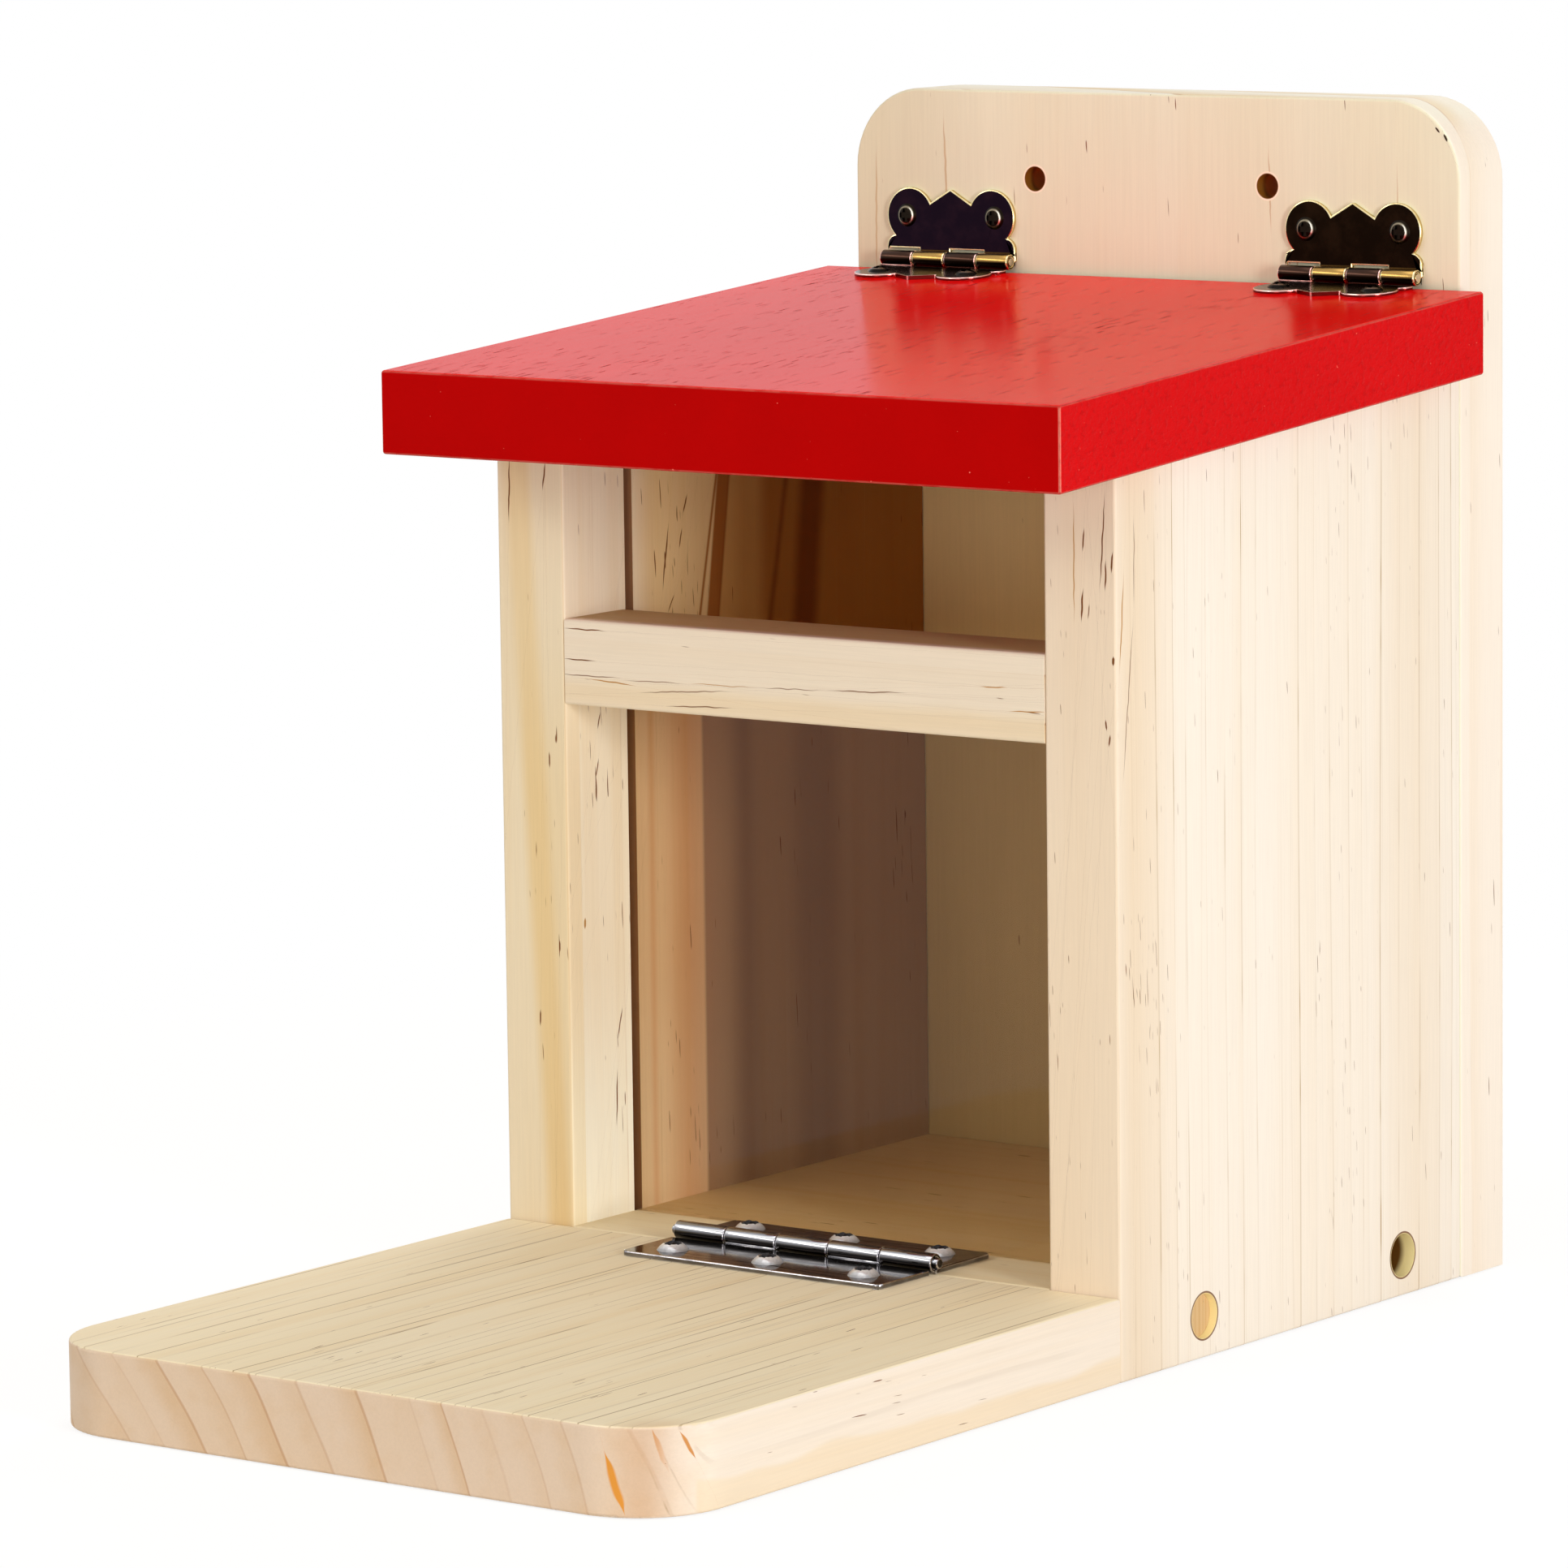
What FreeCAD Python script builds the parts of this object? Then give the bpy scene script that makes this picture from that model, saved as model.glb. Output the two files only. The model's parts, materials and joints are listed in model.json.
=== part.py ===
import FreeCAD, Part
import math
import os
import Sketcher

# A squirrel feeder box: a pine box with a lift-up painted roof, a clear front panel that
# slides in grooves, a cross bar, and a front deck that folds up on a butt hinge.
# Millimetres. X runs across the box, Y from its front to the wall behind it, Z up.
# The pieces are drawn with Y at 0 on the front of the side panels, and every piece is then
# shifted by front_y, so that the origin is under the middle of the whole object.

# The driving sizes: name, value, what it sets
DRIVING = (
    ("board_thickness", 15.0, "every wooden board"),
    ("edge_ease", 0.6, "rounding of the boards' edges"),
    ("box_width", 135.0, "outside of the two side panels, and the back board"),
    ("side_depth", 111.0, "side panels, front to back"),
    ("side_front_height", 158.3, "side panels at the front"),
    ("back_height", 216.0, "back board"),
    ("back_corner_radius", 15.0, "upper corners of the back board"),
    ("hang_hole_spacing", 52.0, "between the two wall holes"),
    ("hang_hole_radius", 2.25, "wall holes"),
    ("hang_hole_drop", 16.5, "wall holes below the top of the back board"),
    ("roof_width", 147.0, "roof board across"),
    ("roof_length", 135.0, "roof board down its slope"),
    ("roof_pitch", 4.3, "roof slope in degrees"),
    ("roof_seat_gap", 0.3, "roof board above the side panels"),
    ("roof_back_gap", 1.4, "roof board to the back board"),
    ("deck_length", 130.0, "deck board, front to back"),
    ("deck_corner_radius", 16.0, "front corners of the deck"),
    ("deck_joint_gap", 0.2, "deck board to the box front"),
    ("groove_front", 18.0, "window groove behind the panel fronts"),
    ("window_thickness", 2.0, "clear front panel"),
    ("window_play", 0.2, "clear panel to each groove wall"),
    ("groove_depth", 4.0, "grooves into the side panels"),
    ("window_side_gap", 0.4, "clear panel's edges to the groove bottoms"),
    ("window_height", 107.0, "clear front panel"),
    ("window_seat_gap", 0.2, "clear panel above the floor board"),
    ("bar_top", 126.0, "top of the cross bar"),
    ("bar_height", 15.5, "cross bar"),
    ("bar_back_gap", 0.2, "cross bar in front of the groove"),
    ("dowel_radius", 3.0, "dowels in the cross bar's ends"),
    ("dowel_bar_depth", 12.0, "dowels into the cross bar"),
    ("dowel_side_depth", 10.0, "dowels into the side panels"),
    ("dowel_end_gap", 0.5, "dowels to the bottoms of their holes"),
    ("wood_fit", 0.03, "screws and dowels to their holes, radial"),
    ("side_screw_front", 26.0, "front side screws behind the panel fronts"),
    ("side_screw_spacing", 65.0, "front to rear side screws"),
    ("counterbore_radius", 4.0, "holes over the side screws"),
    ("counterbore_depth", 5.0, "holes over the side screws"),
    ("plug_recess", 1.5, "plugs below the panel's face"),
    ("plug_fit", 0.05, "plugs in their holes, radial"),
    ("side_screw_radius", 1.75, "side screw shanks"),
    ("side_screw_length", 30.0, "side screws under the head"),
    ("side_head_radius", 3.5, "side screw heads"),
    ("side_head_height", 1.5, "side screw heads"),
    ("back_screw_radius", 1.75, "back screw shanks"),
    ("back_screw_length", 35.0, "back screws over all"),
    ("back_head_radius", 3.6, "countersunk back screw heads"),
    ("back_head_height", 2.2, "countersunk back screw heads"),
    ("back_screw_sink", 0.2, "back screw heads below the board"),
    ("back_screw_low", 42.0, "lower back screws above the underside"),
    ("back_screw_high", 132.0, "upper back screws above the underside"),
    ("back_floor_spacing", 50.0, "back screws into the floor board"),
    ("roof_hinge_offset", 45.0, "roof hinges from the middle"),
    ("roof_hinge_width", 29.6, "roof hinge barrels"),
    ("roof_leaf_thickness", 0.8, "roof hinge leaves"),
    ("roof_barrel_radius", 1.5, "roof hinge barrels"),
    ("roof_barrel_lift", 0.5, "roof hinge barrels off the boards"),
    ("roof_pin_radius", 0.75, "roof hinge pins"),
    ("lobe_offset", 9.4, "leaf lobes from the leaf's middle"),
    ("lobe_reach", 8.1, "leaf lobe centres from the barrel's axis"),
    ("lobe_radius", 5.3, "leaf lobes"),
    ("peak_reach", 13.2, "leaf's middle point from the axis"),
    ("valley_offset", 4.7, "valleys beside the middle point"),
    ("valley_reach", 10.5, "valleys from the axis"),
    ("shoulder_radius", 2.2, "leaf shoulders beside the barrel"),
    ("roof_screw_offset", 10.1, "screws from the leaf's middle"),
    ("roof_screw_reach", 8.1, "screws from the barrel's axis"),
    ("roof_screw_radius", 1.1, "roof hinge screw shanks"),
    ("roof_screw_length", 10.0, "roof hinge screws under the head"),
    ("roof_head_radius", 2.2, "roof hinge screw heads"),
    ("roof_head_height", 0.9, "roof hinge screw heads"),
    ("deck_hinge_width", 57.0, "deck hinge along its barrel"),
    ("deck_leaf_thickness", 1.0, "deck hinge leaves"),
    ("deck_leaf_reach", 17.0, "deck hinge leaves from the axis"),
    ("deck_leaf_corner", 1.5, "corners of the deck hinge leaves"),
    ("deck_barrel_radius", 1.7, "deck hinge barrel"),
    ("deck_barrel_lift", 0.3, "deck hinge barrel off the boards"),
    ("deck_pin_radius", 0.95, "deck hinge pin"),
    ("deck_pin_overhang", 0.8, "deck hinge pin past the barrel"),
    ("deck_screw_spacing", 21.0, "screws along a deck hinge leaf"),
    ("deck_screw_reach", 11.4, "deck hinge screws from the axis"),
    ("deck_screw_radius", 1.5, "deck hinge screw shanks"),
    ("deck_screw_length", 11.0, "deck hinge screws under the head"),
    ("deck_head_radius", 2.9, "deck hinge screw heads"),
    ("deck_head_height", 1.6, "deck hinge screw heads"),
    ("pin_play", 0.05, "hinge pins in their knuckles, radial"),
    ("knuckle_gap", 0.2, "between neighbouring knuckles"),
    ("notch_play", 0.35, "a leaf to the other leaf's knuckles"),
    ("leaf_hole_play", 0.15, "leaf holes round the screws, radial"),
    ("recess_width_share", 0.24, "arms of a cross recess, share of the head's width"),
    ("recess_length_share", 0.58, "arms of a cross recess, share of the head's width"),
    ("recess_depth_share", 0.62, "cross recess, share of the head's height"),
    ("screw_tip", 3.0, "screw points"),
)

ROOF_KNUCKLES = 4
DECK_KNUCKLES = 5
SAME_PLACE = 1e-6

doc = FreeCAD.newDocument("squirrel_feeder_box")
sheet = doc.addObject("Spreadsheet::Sheet", "Sizes")
for row, (name, number, meaning) in enumerate(DRIVING, start=1):
    sheet.set(f"A{row}", name)
    sheet.set(f"B{row}", str(number))
    sheet.set(f"C{row}", meaning)
    sheet.setAlias(f"B{row}", name)
doc.recompute()


class Size:
    """A size that carries its formula on the sheet together with its present value."""

    def __init__(self, formula, value):
        self.formula = formula
        self.value = value

    def __add__(self, other):
        other = as_size(other)
        return Size(f"({self.formula} + {other.formula})", self.value + other.value)

    def __sub__(self, other):
        other = as_size(other)
        return Size(f"({self.formula} - {other.formula})", self.value - other.value)

    def __mul__(self, other):
        other = as_size(other)
        return Size(f"({self.formula} * {other.formula})", self.value * other.value)

    def __truediv__(self, other):
        other = as_size(other)
        return Size(f"({self.formula} / {other.formula})", self.value / other.value)

    def __neg__(self):
        return Size(f"(0 - {self.formula})", -self.value)


def as_size(thing):
    if isinstance(thing, Size):
        return thing
    return Size(f"({float(thing)})", float(thing))


def tangent(angle):
    return Size(f"tan({angle.formula})", math.tan(math.radians(angle.value)))


def sine(angle):
    return Size(f"sin({angle.formula})", math.sin(math.radians(angle.value)))


def cosine(angle):
    return Size(f"cos({angle.formula})", math.cos(math.radians(angle.value)))


class Sizes:
    """The sheet's driving sizes, read by name."""

    def __getattr__(self, name):
        return Size(f"Sizes.{name}", float(sheet.get(name)))


sizes = Sizes()
board = sizes.board_thickness
half_width = sizes.box_width / 2
inner_half = half_width - board
front_y = (sizes.deck_joint_gap + sizes.deck_length - sizes.side_depth - board) / 2
back_y = sizes.side_depth + board

# The roof's underside runs just above the sloped tops of the side panels.
slope = tangent(sizes.roof_pitch)
side_rear_height = sizes.side_front_height + sizes.side_depth * slope
roof_rear_y = sizes.side_depth - sizes.roof_back_gap
roof_rise = (sizes.roof_seat_gap + board) / cosine(sizes.roof_pitch)
roof_rear_z = sizes.side_front_height + roof_rear_y * slope + roof_rise

# Each hinge axis stands off the boards by the barrel's radius and its lift.
roof_axis_rise = sizes.roof_barrel_radius + sizes.roof_barrel_lift
roof_axis_y = sizes.side_depth - roof_axis_rise
roof_axis_set_in = roof_rear_y - roof_axis_y - roof_axis_rise * sine(sizes.roof_pitch)
roof_axis_inset = roof_axis_set_in / cosine(sizes.roof_pitch)
roof_axis_drop = roof_axis_inset * sine(sizes.roof_pitch)
roof_axis_z = roof_rear_z - roof_axis_drop + roof_axis_rise * cosine(sizes.roof_pitch)
deck_axis_rise = sizes.deck_barrel_radius + sizes.deck_barrel_lift
deck_axis_y = -sizes.deck_joint_gap / 2
deck_axis_z = board + deck_axis_rise

groove_width = sizes.window_thickness + sizes.window_play * 2
bar_depth = sizes.groove_front - sizes.bar_back_gap
bar_middle_y = bar_depth / 2
bar_middle_z = sizes.bar_top - sizes.bar_height / 2
side_screw_rows = (sizes.side_screw_front, sizes.side_screw_front + sizes.side_screw_spacing)
floor_middle_z = board / 2
panel_middle_x = half_width - board / 2

# The holes round the dowels and screws, and how deep the screws go into the wood they hold
dowel_way = sizes.dowel_radius + sizes.wood_fit
side_way = sizes.side_screw_radius + sizes.wood_fit
back_way = sizes.back_screw_radius + sizes.wood_fit
roof_leaf_way = sizes.roof_screw_radius + sizes.wood_fit
deck_leaf_way = sizes.deck_screw_radius + sizes.wood_fit
side_screw_grip = sizes.side_screw_length - (board - sizes.counterbore_depth)
back_screw_grip = sizes.back_screw_length + sizes.back_screw_sink - board
roof_screw_grip = sizes.roof_screw_length - sizes.roof_leaf_thickness
deck_screw_grip = sizes.deck_screw_length - sizes.deck_leaf_thickness

X_AXIS = FreeCAD.Vector(1, 0, 0)
Y_AXIS = FreeCAD.Vector(0, 1, 0)
TURNS = {
    "+X": FreeCAD.Rotation(Y_AXIS, 90),
    "-X": FreeCAD.Rotation(Y_AXIS, -90),
    "+Y": FreeCAD.Rotation(X_AXIS, -90),
    "-Y": FreeCAD.Rotation(X_AXIS, 90),
    "+Z": FreeCAD.Rotation(),
    "-Z": FreeCAD.Rotation(X_AXIS, 180),
}
sub_parts = []


def bind(thing, **properties):
    """Tie properties of an object to formulas on the sheet."""
    for name, size in properties.items():
        thing.setExpression(name, as_size(size).formula)


def place(thing, x, y, z):
    """Tie an object's position to formulas on the sheet."""
    for axis, size in (("x", x), ("y", y), ("z", z)):
        thing.setExpression(f"Placement.Base.{axis}", as_size(size).formula)


def finish(thing, label, y=0, z=0, x=0, tilt=None):
    """Name a sub-part and put it in its place in the whole object."""
    thing.Label = label
    if tilt is not None:
        turn = FreeCAD.Rotation(X_AXIS, tilt.value)
        thing.Placement = FreeCAD.Placement(FreeCAD.Vector(), turn)
        thing.setExpression("Placement.Rotation.Angle", tilt.formula)
    place(thing, as_size(x), front_y + y, as_size(z))
    sub_parts.append(thing)
    return thing


def box(name, corner, extent):
    """A block from its lowest corner and its three sizes."""
    block = doc.addObject("Part::Box", name)
    bind(block, Length=extent[0], Width=extent[1], Height=extent[2])
    place(block, *corner)
    return block


def rod(name, radius, length, start, along):
    """A cylinder from its starting point along one axis."""
    cylinder = doc.addObject("Part::Cylinder", name)
    cylinder.Placement = FreeCAD.Placement(FreeCAD.Vector(), TURNS[along])
    bind(cylinder, Radius=radius, Height=length)
    place(cylinder, *start)
    return cylinder


def cone(name, radius_low, radius_high, height, start, along):
    frustum = doc.addObject("Part::Cone", name)
    frustum.Placement = FreeCAD.Placement(FreeCAD.Vector(), TURNS[along])
    bind(frustum, Radius1=radius_low, Radius2=radius_high, Height=height)
    place(frustum, *start)
    return frustum


def fuse(name, pieces):
    union = doc.addObject("Part::MultiFuse", name)
    union.Shapes = pieces
    union.Refine = True
    return union


def cut(name, base, tools):
    difference = doc.addObject("Part::Cut", name)
    difference.Base = base
    difference.Tool = tools[0] if len(tools) == 1 else fuse(f"{name}_tools", tools)
    difference.Refine = True
    return difference


def sketch_on(body, name, role, offset=0):
    """A sketch on one of the body's own planes, shifted along that plane's normal."""
    sketch = body.newObject("Sketcher::SketchObject", name)
    plane = next(item for item in body.Origin.OriginFeatures if item.Role == role)
    sketch.AttachmentSupport = [(plane, "")]
    sketch.MapMode = "FlatFace"
    sketch.setExpression("AttachmentOffset.Base.z", as_size(offset).formula)
    return sketch


def pin_point(sketch, geometry, end, point):
    """Hold one end of a line or arc at a point whose coordinates are sizes."""
    for kind, size in (("DistanceX", point[0]), ("DistanceY", point[1])):
        size = as_size(size)
        index = sketch.addConstraint(Sketcher.Constraint(kind, geometry, end, size.value))
        sketch.setExpression(f"Constraints[{index}]", size.formula)


def draw_outline(sketch, corners):
    """A closed outline. A corner with a third item starts an arc of that radius."""
    points = [FreeCAD.Vector(as_size(c[0]).value, as_size(c[1]).value, 0) for c in corners]
    count = len(corners)
    for index, corner in enumerate(corners):
        start = points[index]
        end = points[(index + 1) % count]
        if len(corner) == 3:
            chord = end - start
            radius = as_size(corner[2])
            reach = math.sqrt(max(radius.value ** 2 - (chord.Length / 2) ** 2, 0))
            across = FreeCAD.Vector(-chord.y, chord.x, 0).normalize()
            centre = (start + end) / 2 + across * reach
            middle = centre - across * radius.value
            edge = Part.Arc(start, middle, end)
        else:
            edge = Part.LineSegment(start, end)
        sketch.addGeometry(edge, False)
    for index in range(count):
        follower = (index + 1) % count
        sketch.addConstraint(Sketcher.Constraint("Coincident", index, 2, follower, 1))
    for index, corner in enumerate(corners):
        pin_point(sketch, index, 1, corner)
        if len(corner) == 3:
            radius = as_size(corner[2])
            number = sketch.addConstraint(Sketcher.Constraint("Radius", index, radius.value))
            sketch.setExpression(f"Constraints[{number}]", radius.formula)


def padded_body(name, role, corners, length, offset=0):
    """A body padded from one closed outline."""
    body = doc.addObject("PartDesign::Body", name)
    sketch = sketch_on(body, f"{name}_outline", role, offset)
    draw_outline(sketch, corners)
    pad = body.newObject("PartDesign::Pad", f"{name}_pad")
    pad.Profile = sketch
    bind(pad, Length=length)
    body.Tip = pad
    return body


def ease_edges(body, chosen):
    """Round the edges of the body's last feature that the rule chooses."""
    doc.recompute()
    base = body.Tip
    names = [
        f"Edge{number}"
        for number, edge in enumerate(base.Shape.Edges, start=1)
        if chosen(edge)
    ]
    fillet = body.newObject("PartDesign::Fillet", f"{body.Name}_eased")
    fillet.Base = (base, names)
    bind(fillet, Radius=sizes.edge_ease)
    body.Tip = fillet
    return body


def lies_flat(axis):
    """A rule that chooses the edges lying across an axis."""
    def chosen(edge):
        places = [getattr(vertex, axis) for vertex in edge.Vertexes]
        return max(places) - min(places) < SAME_PLACE
    return chosen


def runs_along(axis):
    """A rule that chooses the edges running along an axis."""
    def chosen(edge):
        places = [getattr(vertex, axis) for vertex in edge.Vertexes]
        return max(places) - min(places) > edge.Length - SAME_PLACE
    return chosen


def every_edge(edge):
    return edge.Length > 0


# Wooden boards

def back_screw_spots():
    """The back screws' places: two up each side panel and two into the floor board."""
    spots = []
    for side in (-1, 1):
        for height in (sizes.back_screw_low, sizes.back_screw_high):
            spots.append((panel_middle_x * side, height))
        spots.append((sizes.back_floor_spacing / 2 * side, floor_middle_z))
    return spots


def roof_leaf_screw_spots():
    """Screw places across the box for both roof hinges."""
    return [
        sizes.roof_hinge_offset * side + sizes.roof_screw_offset * end
        for side in (-1, 1)
        for end in (-1, 1)
    ]


def deck_screw_spots():
    return [sizes.deck_screw_spacing * step for step in (-1, 0, 1)]


def make_back_board():
    radius = sizes.back_corner_radius
    body = padded_body("back_blank", "XZ_Plane", [
        (-half_width, 0),
        (half_width, 0),
        (half_width, sizes.back_height - radius, radius),
        (half_width - radius, sizes.back_height),
        (radius - half_width, sizes.back_height, radius),
        (-half_width, sizes.back_height - radius),
    ], board, -back_y)
    ease_edges(body, lies_flat("Y"))
    tools = []
    hang_hole_z = sizes.back_height - sizes.hang_hole_drop
    for side in (-1, 1):
        start = (sizes.hang_hole_spacing / 2 * side, sizes.side_depth, hang_hole_z)
        tools.append(rod(f"hang_hole_{side + 2}", sizes.hang_hole_radius, board, start, "+Y"))
    mouth = sizes.back_head_radius + sizes.wood_fit
    for index, (x, z) in enumerate(back_screw_spots()):
        start = (x, sizes.side_depth, z)
        head = (x, back_y - sizes.back_screw_sink, z)
        tools.append(rod(f"back_way_{index}", back_way, board, start, "+Y"))
        tools.append(cone(f"back_sink_{index}", mouth, back_way, sizes.back_head_height, head, "-Y"))
        tools.append(rod(f"back_mouth_{index}", mouth, sizes.back_screw_sink, head, "+Y"))
    for index, x in enumerate(roof_leaf_screw_spots()):
        start = (x, sizes.side_depth, roof_axis_z + sizes.roof_screw_reach)
        tools.append(rod(f"back_leaf_pilot_{index}", roof_leaf_way, roof_screw_grip, start, "+Y"))
    finish(cut("back_cut", body, tools), "back_board")


def make_side_panel(side, label):
    """One side panel: sloped top, window groove, screw holes and the cross bar's dowel hole."""
    outer_x = half_width * side
    inner_x = inner_half * side
    inward = "-X" if side > 0 else "+X"
    outward = "+X" if side > 0 else "-X"
    offset = inner_x if side > 0 else outer_x
    body = padded_body(f"{label}_blank", "YZ_Plane", [
        (0, 0),
        (sizes.side_depth, 0),
        (sizes.side_depth, side_rear_height),
        (0, sizes.side_front_height),
    ], board, offset)
    ease_edges(body, every_edge)
    groove_x = inner_x if side > 0 else inner_x - sizes.groove_depth
    tools = [box(
        f"{label}_groove", (groove_x, sizes.groove_front, 0),
        (sizes.groove_depth, groove_width, side_rear_height),
    )]
    for index, y in enumerate(side_screw_rows):
        mouth = (outer_x, y, floor_middle_z)
        bore = rod(
            f"{label}_counterbore_{index}", sizes.counterbore_radius, sizes.counterbore_depth,
            mouth, inward,
        )
        tools += [bore, rod(f"{label}_way_{index}", side_way, board, mouth, inward)]
    socket = (inner_x, bar_middle_y, bar_middle_z)
    socket_depth = sizes.dowel_side_depth + sizes.dowel_end_gap
    tools.append(rod(f"{label}_socket", dowel_way, socket_depth, socket, outward))
    for index, z in enumerate((sizes.back_screw_low, sizes.back_screw_high)):
        start = (panel_middle_x * side, sizes.side_depth, z)
        tools.append(rod(f"{label}_back_pilot_{index}", back_way, back_screw_grip, start, "-Y"))
    finish(cut(f"{label}_cut", body, tools), label)


def make_floor_board():
    body = padded_body("floor_blank", "YZ_Plane", [
        (0, 0),
        (sizes.side_depth, 0),
        (sizes.side_depth, board),
        (0, board),
    ], inner_half * 2, -inner_half)
    ease_edges(body, runs_along("X"))
    tools = []
    for side, along in ((-1, "+X"), (1, "-X")):
        for index, y in enumerate(side_screw_rows):
            start = (inner_half * side, y, floor_middle_z)
            name = f"floor_pilot_{side + 2}_{index}"
            tools.append(rod(name, side_way, side_screw_grip, start, along))
        start = (sizes.back_floor_spacing / 2 * side, sizes.side_depth, floor_middle_z)
        tools.append(rod(f"floor_back_pilot_{side + 2}", back_way, back_screw_grip, start, "-Y"))
    for index, x in enumerate(deck_screw_spots()):
        start = (x, deck_axis_y + sizes.deck_screw_reach, board)
        tools.append(rod(f"floor_leaf_pilot_{index}", deck_leaf_way, deck_screw_grip, start, "-Z"))
    finish(cut("floor_cut", body, tools), "floor_board")


def make_crossbar():
    low = sizes.bar_top - sizes.bar_height
    body = padded_body("bar_blank", "YZ_Plane", [
        (0, low),
        (bar_depth, low),
        (bar_depth, sizes.bar_top),
        (0, sizes.bar_top),
    ], inner_half * 2, -inner_half)
    ease_edges(body, runs_along("X"))
    depth = sizes.dowel_bar_depth + sizes.dowel_end_gap
    tools = []
    for side, along in ((-1, "+X"), (1, "-X")):
        start = (inner_half * side, bar_middle_y, bar_middle_z)
        tools.append(rod(f"bar_socket_{side + 2}", dowel_way, depth, start, along))
    finish(cut("bar_cut", body, tools), "crossbar")


def make_roof_board():
    """The roof board in its own frame, at its rear top edge, with both ends cut plumb."""
    lean = board * slope
    body = padded_body("roof_blank", "YZ_Plane", [
        (0, 0),
        (-sizes.roof_length, 0),
        (-sizes.roof_length - lean, -board),
        (-lean, -board),
    ], sizes.roof_width, -sizes.roof_width / 2)
    ease_edges(body, every_edge)
    row_y = -roof_axis_inset - sizes.roof_screw_reach
    tools = [
        rod(f"roof_leaf_pilot_{index}", roof_leaf_way, roof_screw_grip, (x, row_y, 0), "-Z")
        for index, x in enumerate(roof_leaf_screw_spots())
    ]
    finish(cut("roof_cut", body, tools), "roof_board", roof_rear_y, roof_rear_z, tilt=sizes.roof_pitch)


def make_deck_board():
    radius = sizes.deck_corner_radius
    rear = -sizes.deck_joint_gap
    front = rear - sizes.deck_length
    body = padded_body("deck_blank", "XY_Plane", [
        (half_width, rear),
        (-half_width, rear),
        (-half_width, front + radius, radius),
        (radius - half_width, front),
        (half_width - radius, front, radius),
        (half_width, front + radius),
    ], board)
    ease_edges(body, lies_flat("Z"))
    row_y = deck_axis_y - sizes.deck_screw_reach
    tools = [
        rod(f"deck_leaf_pilot_{index}", deck_leaf_way, deck_screw_grip, (x, row_y, board), "-Z")
        for index, x in enumerate(deck_screw_spots())
    ]
    finish(cut("deck_cut", body, tools), "deck_board")


def make_window_panel():
    """The clear panel that slides in the side panels' grooves, behind the cross bar."""
    half = inner_half + sizes.groove_depth - sizes.window_side_gap
    corner = (-half, sizes.groove_front + sizes.window_play, board + sizes.window_seat_gap)
    panel = box("window", corner, (half * 2, sizes.window_thickness, sizes.window_height))
    panel.Label = "window_panel"
    place(panel, corner[0], front_y + corner[1], corner[2])
    sub_parts.append(panel)


# Wooden pins and plugs

def group_of_solids(label, shapes, y=0, z=0, tilt=0):
    """One node that holds several separate solids, placed like the piece it sits in."""
    group = doc.addObject("Part::Feature", label)
    group.Label = label
    group.Shape = Part.makeCompound(shapes)
    turn = FreeCAD.Rotation(X_AXIS, as_size(tilt).value)
    place_y = (front_y + y).value
    group.Placement = FreeCAD.Placement(FreeCAD.Vector(0, place_y, as_size(z).value), turn)
    sub_parts.append(group)


def vector(x, y, z):
    return FreeCAD.Vector(as_size(x).value, as_size(y).value, as_size(z).value)


def make_crossbar_dowels():
    length = sizes.dowel_bar_depth + sizes.dowel_side_depth
    dowels = []
    for side in (-1, 1):
        inner_end = inner_half - sizes.dowel_bar_depth
        start = inner_end if side > 0 else -inner_end - length
        dowel = Part.makeCylinder(
            sizes.dowel_radius.value, length.value,
            vector(start, bar_middle_y, bar_middle_z), X_AXIS,
        )
        dowels.append(dowel.makeChamfer(sizes.edge_ease.value, flat_rims(dowel)))
    group_of_solids("crossbar_dowels", dowels)


def flat_rims(cylinder):
    return [edge for edge in cylinder.Edges if len(edge.Vertexes) == 1]


def make_side_plug(side, label):
    """The wooden plug over a front side screw, set a little below the panel's face."""
    thickness = sizes.counterbore_depth - sizes.side_head_height - sizes.plug_recess
    start_x = half_width - sizes.plug_recess - thickness if side > 0 else sizes.plug_recess - half_width
    plug = rod(label, sizes.counterbore_radius - sizes.plug_fit, thickness, (0, 0, 0), "+X")
    finish(plug, label, side_screw_rows[0], floor_middle_z, start_x)


# Screws, drawn point down with the underside of the head at the origin

def turned_body(name, corners):
    """A body turned round Z from a half outline."""
    body = doc.addObject("PartDesign::Body", name)
    sketch = sketch_on(body, f"{name}_outline", "XZ_Plane")
    draw_outline(sketch, corners)
    turned = body.newObject("PartDesign::Revolution", f"{name}_turned")
    turned.Profile = sketch
    turned.ReferenceAxis = (sketch, ["V_Axis"])
    turned.Angle = 360
    body.Tip = turned
    return body


def cross_recess(name, head_radius, head_height, top):
    """Two crossed slots for a screwdriver, cut down from the head's top."""
    width = head_radius * 2 * sizes.recess_width_share
    length = head_radius * 2 * sizes.recess_length_share
    depth = head_height * sizes.recess_depth_share
    low = top - depth
    first = box(f"{name}_slot_x", (-length / 2, -width / 2, low), (length, width, head_height))
    second = box(f"{name}_slot_y", (-width / 2, -length / 2, low), (width, length, head_height))
    return [first, second]


def domed_screw(name, head_radius, head_height, shank_radius, length):
    dome = (head_radius * head_radius + head_height * head_height) / (head_height * 2)
    body = turned_body(f"{name}_blank", [
        (0, -length),
        (shank_radius, sizes.screw_tip - length),
        (shank_radius, 0),
        (head_radius, 0, dome),
        (0, head_height),
    ])
    return cut(name, body, cross_recess(name, head_radius, head_height, head_height))


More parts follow.
